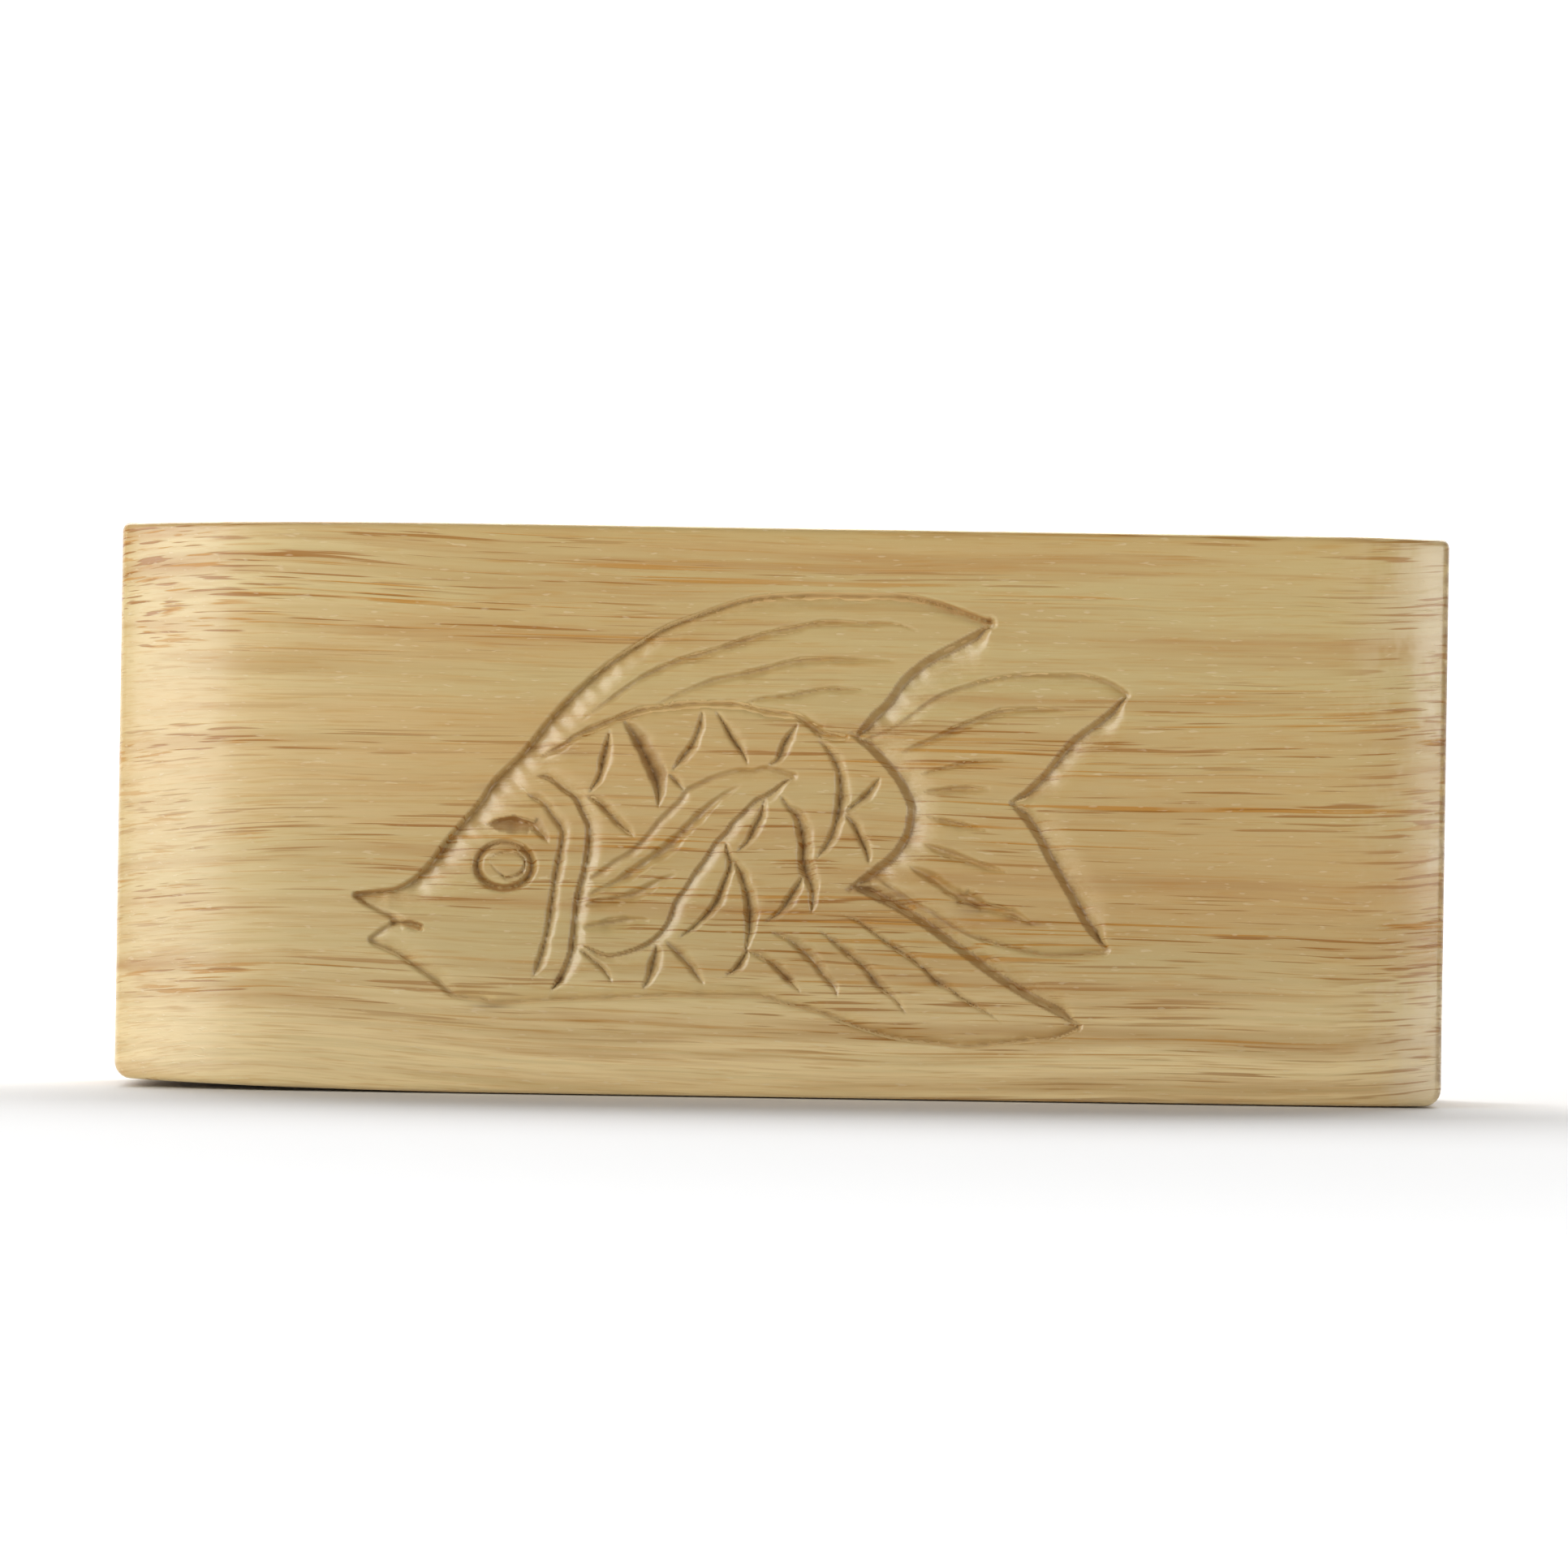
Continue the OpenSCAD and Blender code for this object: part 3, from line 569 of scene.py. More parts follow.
# Only the carved face has these: colours, how strong each one is, and where it starts and ends (metres).
faceTouches = {
    # the two pale bands below are painted light, near the bottom edge and over the left third
    "lowerEdgeLight": {"colour": (248, 222, 164), "share": 0.95, "from": 0.003, "to": 0.026},
    "leftThirdLight": {"colour": (236, 212, 158), "share": 0.5, "from": -0.088, "to": -0.034},
    # the pale sanded patches are partly wear, partly painted reflection of the fill light
    "sandedSheen": {"colour": (226, 205, 162), "share": 0.6, "from": 0.080, "to": 0.098},
    "chipped": {"colour": (168, 110, 24), "share": 0.75, "from": 0.078, "to": 0.095},
    "endRim": {"colour": (140, 98, 52), "share": 0.6, "from": 0.0985, "to": 0.0998},
    # the next two are painted highlight on cut slopes facing the light and painted shade, with some grime, in
    # the cuts
    "bareCutHighlight": {"colour": (230, 208, 162), "share": 0.55},
    "grimeAndShade": {"colour": (140, 94, 42), "share": 0.6},
    # the darkest colour is for patches that are partly stain, partly painted shade
    "stainAndShade": {"colour": (126, 78, 36)},
}


# level faces take their fine grain across the depth instead of the height
def grainTurn(tree, look, coordinates):
    turned = mapped(tree, coordinates.outputs["Object"], (1, 1, 1), (0, 0, 0), look["turn"])
    facing = node(tree, "ShaderNodeSeparateXYZ")
    tree.links.new(coordinates.outputs["Normal"], facing.inputs[0])
    level = sums(tree, "GREATER_THAN", sums(tree, "ABSOLUTE", facing.outputs[2]), 0.72)
    whole = node(tree, "ShaderNodeSeparateXYZ")
    tree.links.new(turned, whole.inputs[0])
    crossed = node(tree, "ShaderNodeCombineXYZ")
    for source, target in ((0, 0), (2, 1), (1, 2)):
        tree.links.new(whole.outputs[source], crossed.inputs[target])
    choose = node(tree, "ShaderNodeMix", data_type="VECTOR")
    feed(tree, choose.inputs[0], level)
    feed(tree, choose.inputs[4], turned)
    feed(tree, choose.inputs[5], crossed.outputs[0])
    return choose.outputs[1]


# grain runs along X: it falls a little over the left half and lifts near the right end
def grainBend(tree, look, turned, split):
    leftPart = sums(tree, "MINIMUM", sums(tree, "ADD", split.outputs[0], 0.01), 0.0)
    rightPart = sums(tree, "MAXIMUM", sums(tree, "SUBTRACT", split.outputs[0], 0.082), 0.0)
    rightPart = sums(tree, "MULTIPLY", sums(tree, "MULTIPLY", rightPart, rightPart), -5.5)
    lift = sums(tree, "ADD", sums(tree, "MULTIPLY", leftPart, 0.026), rightPart)
    sway = grainNoise(tree, mapped(tree, turned, (9, 20, 30), look["place"]), 1.0, 2.0)
    lift = sums(tree, "ADD", lift, sums(tree, "MULTIPLY", sums(tree, "SUBTRACT", sway, 0.5), 0.0065))
    bent = node(tree, "ShaderNodeCombineXYZ")
    tree.links.new(split.outputs[0], bent.inputs[0])
    tree.links.new(split.outputs[1], bent.inputs[1])
    tree.links.new(sums(tree, "ADD", split.outputs[2], lift), bent.inputs[2])
    return mapped(tree, bent.outputs[0], (1, 1, 1), look["place"], (0.24, 0, 0))


# painted light: the face is paler along its lower edge, where the floor's shadow darkens it, and over its
# left third, nearest the key light
def paintedLightParts(tree, colour, split):
    for name, axis in (("lowerEdgeLight", 2), ("leftThirdLight", 0)):
        touch = faceTouches[name]
        share = between(tree, split.outputs[axis], touch["from"], touch["to"], touch["share"], 0.0)
        colour = blendColour(tree, share, colour, linear(*touch["colour"]))
    return colour


# the right end was sanded across the grain and greyed a little in pale cloudy patches, partly wear and partly
# painted reflection of the fill light; it is chipped at its edge and has a ragged dark line along it
def endWear(tree, colour, here, streaks):
    place = node(tree, "ShaderNodeSeparateXYZ")
    tree.links.new(here, place.inputs[0])
    forward = between(tree, place.outputs[1], -0.0155, -0.0125, 1.0, 0.0)
    cloudy = grainNoise(tree, mapped(tree, here, (90, 90, 60)), 1.0, 4.0, 0.65)
    ragged = grainNoise(tree, mapped(tree, here, (200, 200, 420)), 1.0, 3.0, 0.7)
    patches = {
        # pale cloudy patches: sanding wear and painted reflection of the fill light
        "sandedSheen": between(tree, cloudy, 0.45, 0.62),
        "chipped": between(tree, streaks(70, 1700, 8.8, 1.0), 0.58, 0.66),
        "endRim": between(tree, ragged, 0.38, 0.6),
    }
    for name, patch in patches.items():
        touch = faceTouches[name]
        reached = sums(tree, "MULTIPLY", between(tree, place.outputs[0], touch["from"], touch["to"]), forward)
        mark = sums(tree, "MULTIPLY", reached, patch)
        colour = tinted(tree, colour, mark, touch["share"], touch["colour"])
    return colour


# painted highlight with bare, slightly torn wood on the cut slopes facing the light, painted shade with some
# grime in their corners, and patches that are partly stain, partly painted shade
def cutWood(tree, colour, height, here, thin, dash):
    carving = node(tree, "ShaderNodeAttribute", attribute_name="carving")
    parts = node(tree, "ShaderNodeSeparateColor")
    tree.links.new(carving.outputs["Color"], parts.inputs[0])
    lit, dark, stainAndShade = parts.outputs[0], parts.outputs[1], parts.outputs[2]
    tear = grainNoise(tree, mapped(tree, here, (800, 1700, 1700)), 1.0, 3.0, 0.7)
    marks = {
        "bareCutHighlight": sums(tree, "MULTIPLY", lit, between(tree, tear, 0.42, 0.6, 0.35, 1.0)),
        "grimeAndShade": sums(tree, "MULTIPLY", dark, between(tree, thin, 0.25, 0.7, 0.75, 1.0)),
    }
    for name, mark in marks.items():
        colour = tinted(tree, colour, mark, faceTouches[name]["share"], faceTouches[name]["colour"])
    # patches that are partly stain, partly painted shade
    stainAndShadeMark = sums(tree, "MULTIPLY", stainAndShade, between(tree, dash, 0.35, 0.6, 0.45, 1.0))
    colour = blendColour(tree, stainAndShadeMark, colour, linear(*faceTouches["stainAndShade"]["colour"]))
    torn = sums(tree, "MULTIPLY", sums(tree, "MULTIPLY", lit, tear), 1.2)
    return colour, sums(tree, "ADD", height, torn)


def makeWood(name):
    look = woodLooks[name]
    material = bpy.data.materials.new(name)
    material.use_nodes = True
    tree = material.node_tree
    tree.nodes.clear()
    out = node(tree, "ShaderNodeOutputMaterial")
    shader = node(tree, "ShaderNodeBsdfPrincipled")
    tree.links.new(shader.outputs[0], out.inputs["Surface"])
    coordinates = node(tree, "ShaderNodeTexCoord")
    here = coordinates.outputs["Object"]
    turned = grainTurn(tree, look, coordinates)
    split = node(tree, "ShaderNodeSeparateXYZ")
    tree.links.new(turned, split.inputs[0])
    grain = grainBend(tree, look, turned, split)

    def streaks(lengthwise, across, seed, detail=2.0, rough=0.5):
        stretched = mapped(tree, grain, (lengthwise, across * 0.15, across), (seed, seed * 2, seed * 3))
        return grainNoise(tree, stretched, 1.0, detail, rough)

    # broad tone, soft streaks, fibres
    tone = between(tree, streaks(5, 60, 0.3, 2.0), 0.34, 0.64)
    colour = blendColour(tree, tone, linear(*look["pale"]), linear(*look["golden"]))
    if look.get("carved"):
        colour = paintedLightParts(tree, colour, split)
    soft = streaks(8, 210, 1.7, 3.0, 0.6)
    colour = blendColour(tree, between(tree, soft, 0.47, 0.72, 0, 0.8), colour, linear(*look["warm"]))
    thin = streaks(22, 900, 2.9, 3.0, 0.65)
    colour = blendColour(tree, between(tree, thin, 0.3, 0.6, 0.4, 0.0), colour, linear(*look["pale"]))
    colour = blendColour(tree, between(tree, thin, 0.55, 0.72, 0.0, 0.45), colour, linear(*look["warm"]))
    fibre = streaks(110, 2800, 3.1, 2.0, 0.6)
    colour = blendColour(tree, between(tree, fibre, 0.5, 0.72, 0.0, 0.3), colour, linear(*look["line"]))

    # pores: long brown lines and short dark dashes that gather in bands
    gather = between(tree, streaks(6, 95, 4.4, 2.0), 0.42, 0.62, 0.12, 1.0)
    halo = sums(tree, "MULTIPLY", between(tree, streaks(16, 420, 5.2, 2.0), 0.5, 0.68), gather)
    colour = tinted(tree, colour, halo, 0.42 * look["lines"], look["warm"])
    longMark = sums(tree, "MULTIPLY", between(tree, streaks(15, 1700, 6.1, 2.0), 0.58, 0.65), gather)
    broken = between(tree, streaks(60, 500, 6.6, 2.0), 0.36, 0.56, 0.35, 1.0)
    longMark = sums(tree, "MULTIPLY", longMark, broken)
    colour = tinted(tree, colour, longMark, 0.85 * look["lines"], look["line"])
    dash = streaks(48, 2100, 7.3, 1.0)
    dashMark = sums(tree, "MULTIPLY", between(tree, dash, 0.60, 0.68), gather)
    colour = tinted(tree, colour, dashMark, 0.85 * look["lines"], look["pore"])
    # painted glints: pale flecks on open fibres stand in for specks of sheen; they also lift the bump a
    # little
    glintFleck = grainNoise(tree, mapped(tree, grain, (420, 1500, 2300), (0.4, 0.6, 0.1)), 1.0, 1.0)
    glintFleckMark = between(tree, glintFleck, 0.66, 0.75)
    colour = tinted(tree, colour, glintFleckMark, 0.28, oiled["glintFleck"])

    rough = between(tree, thin, 0.3, 0.7, look["rough"] - 0.04, look["rough"] + 0.07)
    rough = sums(tree, "ADD", rough, sums(tree, "MULTIPLY", longMark, 0.18))
    # hand sanding leaves the face slightly wavy
    waves = grainNoise(tree, mapped(tree, turned, (75, 110, 150), look["place"]), 1.0, 3.0, 0.6)
    height = sums(tree, "MULTIPLY", waves, 1.6)
    for mark, rise in ((thin, 0.28), (fibre, 0.16), (longMark, -0.5), (dashMark, -0.5), (glintFleckMark, 0.25)):
        height = sums(tree, "ADD", height, sums(tree, "MULTIPLY", mark, rise))
    if look.get("carved"):
        colour = endWear(tree, colour, here, streaks)
        colour, height = cutWood(tree, colour, height, here, thin, dash)
    tree.links.new(colour, shader.inputs["Base Color"])
    tree.links.new(rough, shader.inputs["Roughness"])
    shader.inputs["Specular IOR Level"].default_value = 0.5
    shader.inputs["Coat Weight"].default_value = oiled["coat"]
    shader.inputs["Coat Roughness"].default_value = oiled["coatRoughness"]
    bump = node(tree, "ShaderNodeBump")
    bump.inputs["Strength"].default_value = oiled["bump"]
    bump.inputs["Distance"].default_value = oiled["bumpDistance"]
    tree.links.new(height, bump.inputs["Height"])
    tree.links.new(bump.outputs[0], shader.inputs["Normal"])
    tree.links.new(bump.outputs[0], shader.inputs["Coat Normal"])
    return material


woods = {name: makeWood(name) for name in woodLooks}
print("woods made")


frontBoard = {"topRadius": 1.2, "rimRadius": 1.2, "cornerSegments": 6, "edgeSegments": 5,
              "step": 0.98, "plainEdge": 3.0, "eyeReach": 5.2}


def buildFrontBoard():
    b, part = block, frontBoard
    bm = boxMesh((-b["halfLength"], b["front"], 0), (b["halfLength"], b["innerFront"], b["height"]))
    soften(bm, edgesAlong(bm, 1, lambda q, r: q.z > midHeight), part["topRadius"], 3)
    soften(bm, edgesAlong(bm, 1, lambda q, r: q.z < 0.01), b["cornerRadius"], part["cornerSegments"])
    rim = [e for e in bm.edges if all(abs(v.co.y - b["front"]) < 1e-4 for v in e.verts)]
    soften(bm, rim, part["rimRadius"], part["edgeSegments"])
    backRim = [e for e in bm.edges if all(abs(v.co.y - b["innerFront"]) < 1e-4 for v in e.verts)]
    soften(bm, backRim, b["seam"], 1)
    rear = lambda f: f.normal.y > 0.99
    bm.normal_update()
    edge = part["plainEdge"]
    columns = np.arange(-b["halfLength"] + edge, b["halfLength"] - edge + 0.5, part["step"])
    rows = np.arange(edge, b["height"] - edge + 0.5, part["step"])
    sliceAcross(bm, 0, columns, rear)
    sliceAcross(bm, 2, rows, rear)
    print("front board cut into", len(bm.faces), "faces")

    # finer faces along the carved lines
    for level, extra in ((1, 0.9), (2, 0.0)):
        verts = [v for v in bm.verts if abs(v.co.y - b["front"]) < 1e-3]
        spots = np.array([(v.co.x, v.co.z - midHeight) for v in verts])
        wanted = np.zeros(len(verts), bool)
        for line in lines:
            r = fineReach(line) + extra
            low, high = line["path"].min(0) - r, line["path"].max(0) + r
            near = np.nonzero(((spots > low) & (spots < high)).all(1))[0]
            if len(near):
                off = nearest(line["path"][::2], spots[near])[0]
                wanted[near[np.abs(off) < r]] = True
        ex = np.hypot(spots[:, 0] - eye["x"], spots[:, 1] - eye["z"])
        wanted |= ex < part["eyeReach"] + extra
        chosen = {v for v, w in zip(verts, wanted) if w}
        edges = [e for e in bm.edges if e.verts[0] in chosen and e.verts[1] in chosen]
        bmesh.ops.subdivide_edges(bm, edges=edges, cuts=1, use_grid_fill=True)
        print("front board level", level, "has", len(bm.faces), "faces")

    bm.verts.ensure_lookup_table()
    face = [v for v in bm.verts if abs(v.co.y - b["front"]) < 1e-3]
    spots = np.array([(v.co.x, v.co.z - midHeight) for v in face])
    depth, lit, dark, stainAndShade = relief(spots)
    # carving colours at each corner: painted highlight, painted shade and the stain-and-shade patches
    layer = bm.loops.layers.float_color.new("carving")
    shades = {}
    for v, d, a, c, s in zip(face, depth, lit, dark, stainAndShade):
        v.co.y -= d
        shades[v.index] = (float(a), float(c), float(s), 1.0)
    for f in bm.faces:
        for loop in f.loops:
            loop[layer] = shades.get(loop.vert.index, (0, 0, 0, 1))
    for v in bm.verts:
        if v.co.y < b["innerFront"] - 1:
            v.co.y += float(recess(np.array(v.co.x)))
    taperVerts(bm)
    return finishPiece(bm, "front_board_carved", "block", "front_board", woods["frontWood"], 60)


print("front board carved:", len(buildFrontBoard().data.polygons), "faces")


backBoard = {"pitch": 6.0, "grooves": 26, "depth": 3.0, "width": 4.0, "crest": 0.5, "rowStep": 5.0}


def grooveDepth(x, z):
    p = backBoard
    k = x / p["pitch"] + (p["grooves"] - 1) / 2
    i = np.clip(np.round(k), 0, p["grooves"] - 1)
    off = (k - i) * p["pitch"] + 0.12 * math.sin(i * 12.9 + z * 0.03)
    deep = p["depth"] * (1 - 0.04 * (1 + math.sin(i * 7.3)) / 2)
    half = p["width"] / 2
    flank = np.clip(1 - abs(off) / half, 0, 1)
    shoulder = p["crest"] * np.clip(1 - max(abs(off) - half, 0) / 1.0, 0, 1) ** 2 * 0.5
    return deep * flank ** 0.96 * 0.97 + shoulder


def buildBackBoard():
    b, p = block, backBoard
    bm = boxMesh((-b["halfLength"], b["innerBack"], 0), (b["halfLength"], b["back"], b["height"]))
    soften(bm, edgesAlong(bm, 1), b["cornerRadius"], 6)
    rim = [e for e in bm.edges if all(abs(v.co.y - b["back"]) < 1e-4 for v in e.verts)]
    soften(bm, rim, b["edgeRadius"], 5)
    inner = [e for e in bm.edges if all(abs(v.co.y - b["innerBack"]) < 1e-4 for v in e.verts)]
    soften(bm, inner, b["seam"], 1)
    bm.normal_update()
    reach0 = (p["grooves"] / 2 + 0.2) * p["pitch"]
    columns = np.concatenate([np.arange(-96, -reach0, 4), np.arange(-reach0, reach0 + 0.1, 0.5),
                              np.arange(reach0 + 2, 97, 4)])
    rear = lambda f: f.normal.y < -0.99
    sliceAcross(bm, 0, columns, rear)
    sliceAcross(bm, 2, np.arange(4, b["height"] - 3, p["rowStep"]), rear)
    for v in bm.verts:
        if v.co.y > b["innerBack"] + 1:
            cut = b["back"] - grooveDepth(v.co.x, v.co.z)
            v.co.y = min(v.co.y, cut)
    taperVerts(bm)
    return finishPiece(bm, "back_board_ridged", "block", "back_board", woods["backWood"], 35)


print("back board sawn:", len(buildBackBoard().data.polygons), "faces")


rails = {"tenonLength": 5.0, "tenonHeight": 6.0, "tenonWidth": 8.0, "slotLength": 130.0, "slotWidth": 6.0,
         "slotSoft": 0.7}


def addTenons(bm, low):
    r = rails
    mid = low + block["railThickness"] / 2
    sliceAcross(bm, 2, [mid - r["tenonHeight"] / 2, mid + r["tenonHeight"] / 2])
    sliceAcross(bm, 1, [midDepth - r["tenonWidth"] / 2, midDepth + r["tenonWidth"] / 2])
    for s in (-1, 1):
        bm.faces.ensure_lookup_table()
        ends = [f for f in bm.faces if abs(f.normal.x - s) < 0.01
                and abs(f.calc_center_median().x) > block["endInner"] - 0.01
                and abs(f.calc_center_median().z - mid) < r["tenonHeight"] / 2
                and abs(f.calc_center_median().y - midDepth) < r["tenonWidth"] / 2]
        made = bmesh.ops.extrude_face_region(bm, geom=ends)
        bmesh.ops.delete(bm, geom=ends, context="FACES_ONLY")
        moved = [g for g in made["geom"] if isinstance(g, bmesh.types.BMVert)]
        bmesh.ops.translate(bm, vec=(s * r["tenonLength"], 0, 0), verts=moved)


def railMesh(low):
    b = block
    return boxMesh((-b["endInner"], b["innerFront"], low),
                   (b["endInner"], b["innerBack"], low + b["railThickness"]))


def buildBottomRail():
    bm = railMesh(0)
    soften(bm, list(bm.edges), block["seam"], 1)
    bm.normal_update()
    addTenons(bm, 0)
    sliceAcross(bm, 0, np.arange(-80, 81, 8))
    taperVerts(bm)
    return finishPiece(bm, "bottom_rail_board", "block", "bottom_rail", woods["bottomRailWood"], 35)


def buildTopRail():
    b, r = block, rails
    low = b["height"] - b["railThickness"]
    bm = railMesh(low)
    soften(bm, list(bm.edges), b["seam"], 1)
    bm.normal_update()
    half, wide = r["slotLength"] / 2, r["slotWidth"] / 2
    sliceAcross(bm, 0, [-half, half])
    sliceAcross(bm, 1, [midDepth - wide, midDepth + wide])
    mouth = [f for f in bm.faces if abs(abs(f.normal.z) - 1) < 0.01
             and abs(f.calc_center_median().x) < half and abs(f.calc_center_median().y - midDepth) < wide]
    bmesh.ops.delete(bm, geom=mouth, context="FACES_ONLY")
    loops = [e for e in bm.edges if len(e.link_faces) == 1]
    bmesh.ops.bridge_loops(bm, edges=loops)
    corners = edgesAlong(bm, 2, lambda p, q: abs(abs(p.x) - half) < 0.01
                         and abs(abs(p.y - midDepth) - wide) < 0.01)
    soften(bm, corners, wide - 0.02, 8)
    bm.normal_update()
    inMouth = lambda v: abs(v.co.y - midDepth) < wide + 0.05 and abs(v.co.x) < half + 0.05
    rim = [e for e in bm.edges if len(e.link_faces) == 2 and all(inMouth(v) for v in e.verts)
           and any(abs(f.normal.z) > 0.99 for f in e.link_faces)
           and any(abs(f.normal.z) < 0.01 for f in e.link_faces)]
    soften(bm, rim, r["slotSoft"], 3)
    bm.normal_update()
    addTenons(bm, low)
    sliceAcross(bm, 0, np.concatenate([np.arange(-82, -66, 4), np.arange(-56, 60, 8), np.arange(70, 85, 6)]))
    taperVerts(bm)
    return finishPiece(bm, "top_rail_slotted", "block", "top_rail", woods["topRailWood"], 35)


buildBottomRail()
buildTopRail()
print("rails made")


endBlocks = {"mouth": 7.0, "dish": 3.0, "bore": 4.1, "sides": 12, "squareHalf": 7.78, "boreZone": 9.0,
             "tenonGap": 0.05, "mortiseEnd": 0.5}


# turns a square face into round rings, each given as (radius, x)
def ringIn(bm, face, centre, rings):
    edges = list(face.edges)
    bmesh.ops.subdivide_edges(bm, edges=edges, cuts=endBlocks["sides"] - 1)
    made = bmesh.ops.extrude_face_region(bm, geom=[face])
    bmesh.ops.delete(bm, geom=[face], context="FACES_ONLY")
    inner = [g for g in made["geom"] if isinstance(g, bmesh.types.BMFace)][0]
    for i, (radius, x) in enumerate(rings):
        if i:
            made = bmesh.ops.extrude_face_region(bm, geom=[inner])
            bmesh.ops.delete(bm, geom=[inner], context="FACES_ONLY")
            inner = [g for g in made["geom"] if isinstance(g, bmesh.types.BMFace)][0]
        for v in inner.verts:
            d = Vector((0, v.co.y - centre[0], v.co.z - centre[1]))
            d.normalize()
            v.co = Vector((x, centre[0], centre[1])) + d * radius
    return inner


def buildEndBlock(sign, name, nodeName, wood):
    b, p = block, endBlocks
    bm = boxMesh((b["endInner"], b["innerFront"], 0), (b["halfLength"], b["innerBack"], b["height"]))
    outer = edgesAlong(bm, 1, lambda q, r: q.x > b["halfLength"] - 0.01)
    soften(bm, outer, b["cornerRadius"], 6)
    bm.normal_update()
    rims = [e for e in bm.edges if len(e.link_faces) == 2 and e.calc_face_angle() > 1.2]
    soften(bm, rims, b["seam"], 1)
    bm.normal_update()
    sliceAcross(bm, 2, [midHeight - p["squareHalf"], midHeight + p["squareHalf"]])
    sphere = (p["mouth"] ** 2 + p["dish"] ** 2) / (2 * p["dish"])
    centreX = b["halfLength"] + sphere - p["dish"]
    outerRings = [(p["mouth"] + 0.35, b["halfLength"]), (p["mouth"], b["halfLength"] - 0.08)]
    for radius in (6.6, 6.1, 5.5, 4.9, 4.4):
        outerRings.append((radius, centreX - math.sqrt(sphere ** 2 - radius ** 2)))
    outerRings.append((p["bore"], centreX - math.sqrt(sphere ** 2 - p["bore"] ** 2) - 0.15))
    middle = []
    for side, rings in ((1, outerRings), (-1, [(4.6, b["endInner"]), (p["bore"], b["endInner"] + 0.3)])):
        face = [f for f in bm.faces if f.normal.x * side > 0.99
                and abs(f.calc_center_median().z - midHeight) < 0.1][0]
        middle.append(ringIn(bm, face, (midDepth, midHeight), rings))
    loops = [e for f in middle for e in f.edges]
    bmesh.ops.delete(bm, geom=middle, context="FACES_ONLY")
    bmesh.ops.bridge_loops(bm, edges=loops)
    # mortises for the rails' tenons
    railMiddles = (b["railThickness"] / 2, b["height"] - b["railThickness"] / 2)
    aroundBore = lambda f: abs(f.calc_center_median().z - midHeight) < p["boreZone"]
    high, wide = rails["tenonHeight"] / 2, rails["tenonWidth"] / 2
    gap = p["tenonGap"]
    for mid in railMiddles:
        sliceAcross(bm, 2, [mid - high - gap, mid + high + gap], aroundBore)
    sliceAcross(bm, 1, [midDepth - wide - gap, midDepth + wide + gap],
                lambda f: aroundBore(f) or f.normal.x > -0.99)
    bmesh.ops.recalc_face_normals(bm, faces=bm.faces)
    for mid in railMiddles:
        pocket = [f for f in bm.faces if f.normal.x < -0.99 and abs(f.calc_center_median().z - mid) < high
                  and abs(f.calc_center_median().y - midDepth) < wide]
        made = bmesh.ops.extrude_face_region(bm, geom=pocket)
        bmesh.ops.delete(bm, geom=pocket, context="FACES_ONLY")
        moved = [g for g in made["geom"] if isinstance(g, bmesh.types.BMVert)]
        bmesh.ops.translate(bm, vec=(rails["tenonLength"] + p["mortiseEnd"], 0, 0), verts=moved)
    if sign < 0:
        bmesh.ops.scale(bm, vec=(-1, 1, 1), verts=bm.verts)
    taperVerts(bm)
    return finishPiece(bm, name, "block", nodeName, woods[wood], 35)


buildEndBlock(-1, "left_end_dished", "left_end_block", "leftEndWood")
buildEndBlock(1, "right_end_dished", "right_end_block", "rightEndWood")
print("end blocks made")


scraper = {"radius": 3.98, "sides": 64, "dome": 1.2}


def buildScraper():
    s = scraper
    half = stickHigh.x
    bm = bmesh.new()
    profile = []
    for k in range(9):
        a = math.pi / 2 * k / 8
        profile.append((half - s["dome"] + s["dome"] * math.cos(a),
                        s["radius"] - s["dome"] + s["dome"] * math.sin(a)))
    ends = [(half, 0.0)] + profile
    body = []
    for k in range(1, 40):
        x = half - s["dome"] - (2 * (half - s["dome"])) * k / 40
        wear = 0.05 * math.exp(-((x - 40) / 28) ** 2) + 0.015 * math.sin(x * 0.31)
        body.append((x, s["radius"] - max(0, wear)))
    rows = ends + body + [(-x, r) for x, r in reversed(ends)]
    verts = [bm.verts.new((x, 0, r)) for x, r in rows]
    edges = [bm.edges.new((a, b)) for a, b in zip(verts, verts[1:])]
    bmesh.ops.spin(bm, geom=verts + edges, cent=(0, 0, 0), axis=(1, 0, 0), angle=2 * math.pi,
                   steps=s["sides"], use_merge=True, use_duplicate=False)
    bmesh.ops.remove_doubles(bm, verts=bm.verts, dist=1e-4)
    bmesh.ops.translate(bm, vec=(0, midDepth, midHeight), verts=bm.verts)
    return finishPiece(bm, "scraper_stick", "scraper", "scraper", woods["stickWood"], 50)


buildScraper()
print("scraper turned")

# the dowels keep their CAD shape
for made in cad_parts.values():
    if made.name.startswith("corner_dowels"):
        for slotNumber in range(len(made.material_slots)):
            made.material_slots[slotNumber].material = woods["dowelWood"]

stageLook = {"floor": 0.86, "glow": 0.42, "backdropGlow": 1.0, "backdropAt": 2.4, "world": 0.14,
             "glowFrom": 0.12, "glowTo": 0.75}


def plain(name, colour, glow):
    material = bpy.data.materials.new(name)
    material.use_nodes = True
    shader = material.node_tree.nodes["Principled BSDF"]
    shader.inputs["Base Color"].default_value = (colour, colour, colour, 1)
    shader.inputs["Roughness"].default_value = 0.9
    shader.inputs["Specular IOR Level"].default_value = 0.1
    shader.inputs["Emission Color"].default_value = (1, 1, 1, 1)
    shader.inputs["Emission Strength"].default_value = glow
    return material


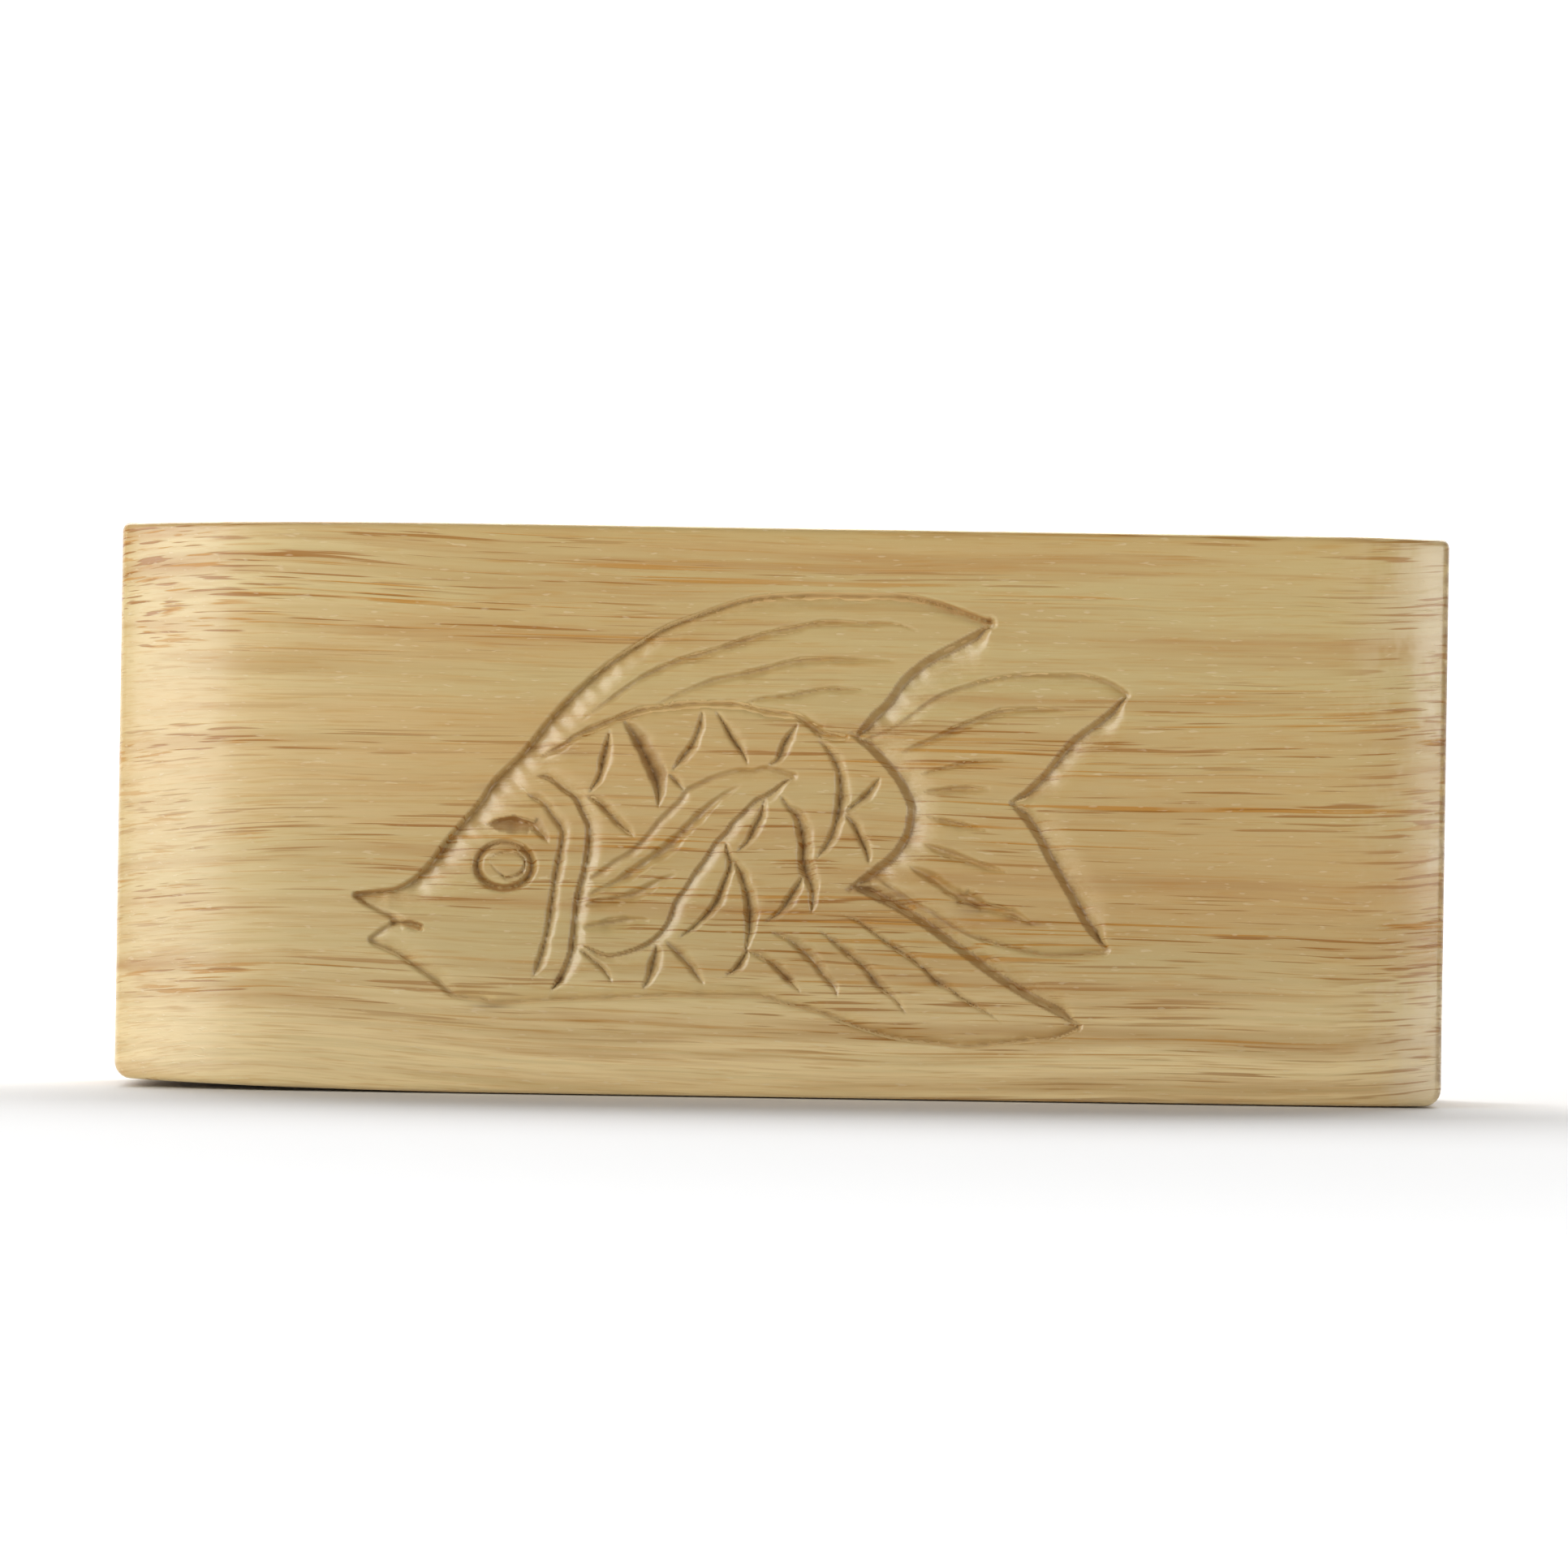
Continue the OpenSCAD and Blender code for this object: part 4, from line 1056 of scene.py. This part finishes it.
def stagePlane(name, width, height, place, turn, material):
    bm = bmesh.new()
    bmesh.ops.create_grid(bm, x_segments=1, y_segments=1, size=0.5)
    bmesh.ops.scale(bm, vec=(width, height, 1), verts=bm.verts)
    bmesh.ops.rotate(bm, cent=(0, 0, 0), matrix=Matrix.Rotation(turn, 3, "X"), verts=bm.verts)
    bmesh.ops.translate(bm, vec=place, verts=bm.verts)
    mesh = bpy.data.meshes.new(name)
    bm.to_mesh(mesh)
    bm.free()
    mesh.materials.append(material)
    made = bpy.data.objects.new(name, mesh)
    bpy.context.scene.collection.objects.link(made)
    return made


floorWhite = plain("floorWhite", stageLook["floor"], 0.0)
floorTree = floorWhite.node_tree
floorPlace = node(floorTree, "ShaderNodeTexCoord").outputs["Object"]
distance = node(floorTree, "ShaderNodeVectorMath", operation="LENGTH")
floorTree.links.new(floorPlace, distance.inputs[0])
farGlow = between(floorTree, distance.outputs["Value"], stageLook["glowFrom"], stageLook["glowTo"],
                  0.0, stageLook["glow"])
floorTree.links.new(farGlow, floorTree.nodes["Principled BSDF"].inputs["Emission Strength"])
stagePlane("floor", 8, 5, (0, -1.5, -0.0002), 0, floorWhite)
stagePlane("backdrop", 8, 5, (0, stageLook["backdropAt"], 1.4), math.pi / 2,
           plain("backdropWhite", 0.9, stageLook["backdropGlow"]))

lights = {
    "key": {"place": (-1.1, -0.82, 0.42), "size": (1.0, 0.95), "power": 12.0},
    "fill": {"place": (1.15, -1.0, 0.14), "size": (0.7, 0.3), "power": 3.6},
    "back": {"place": (-0.1, 0.75, 1.0), "size": (1.8, 0.8), "power": 18.5},
}
for name, values in lights.items():
    data = bpy.data.lights.new(name, "AREA")
    data.shape = "RECTANGLE"
    data.size, data.size_y = values["size"]
    data.energy = values["power"]
    lamp = bpy.data.objects.new(name, data)
    lamp.location = values["place"]
    aim = Vector((0, 0, 0.045)) - Vector(values["place"])
    lamp.rotation_euler = aim.to_track_quat("-Z", "Y").to_euler()
    bpy.context.scene.collection.objects.link(lamp)

world = bpy.data.worlds.new("studio")
world.use_nodes = True
world.node_tree.nodes["Background"].inputs["Color"].default_value = (1, 1, 1, 1)
world.node_tree.nodes["Background"].inputs["Strength"].default_value = stageLook["world"]
bpy.context.scene.world = world
bpy.context.scene.view_settings.view_transform = "Standard"
bpy.context.scene.view_settings.look = "None"

camera = {"distance": 1.2, "frameWidth": 0.2350, "aimX": 0.0005, "aimZ": 0.047, "roll": 0.9}
data = bpy.data.cameras.new("camera")
data.sensor_width = 36
data.lens = 36 / 2 / (camera["frameWidth"] / 2 / camera["distance"])
data.clip_start, data.clip_end = 0.01, 20
eyePoint = bpy.data.objects.new("camera", data)
eyePlace = (camera["aimX"], frontLow.y * mm - camera["distance"], camera["aimZ"])
eyePoint.matrix_world = (Matrix.Translation(eyePlace) @ Matrix.Rotation(math.pi / 2, 4, "X")
                         @ Matrix.Rotation(math.radians(camera["roll"]), 4, "Z"))
bpy.context.scene.collection.objects.link(eyePoint)
bpy.context.scene.camera = eyePoint
print("stage, lights and camera set")
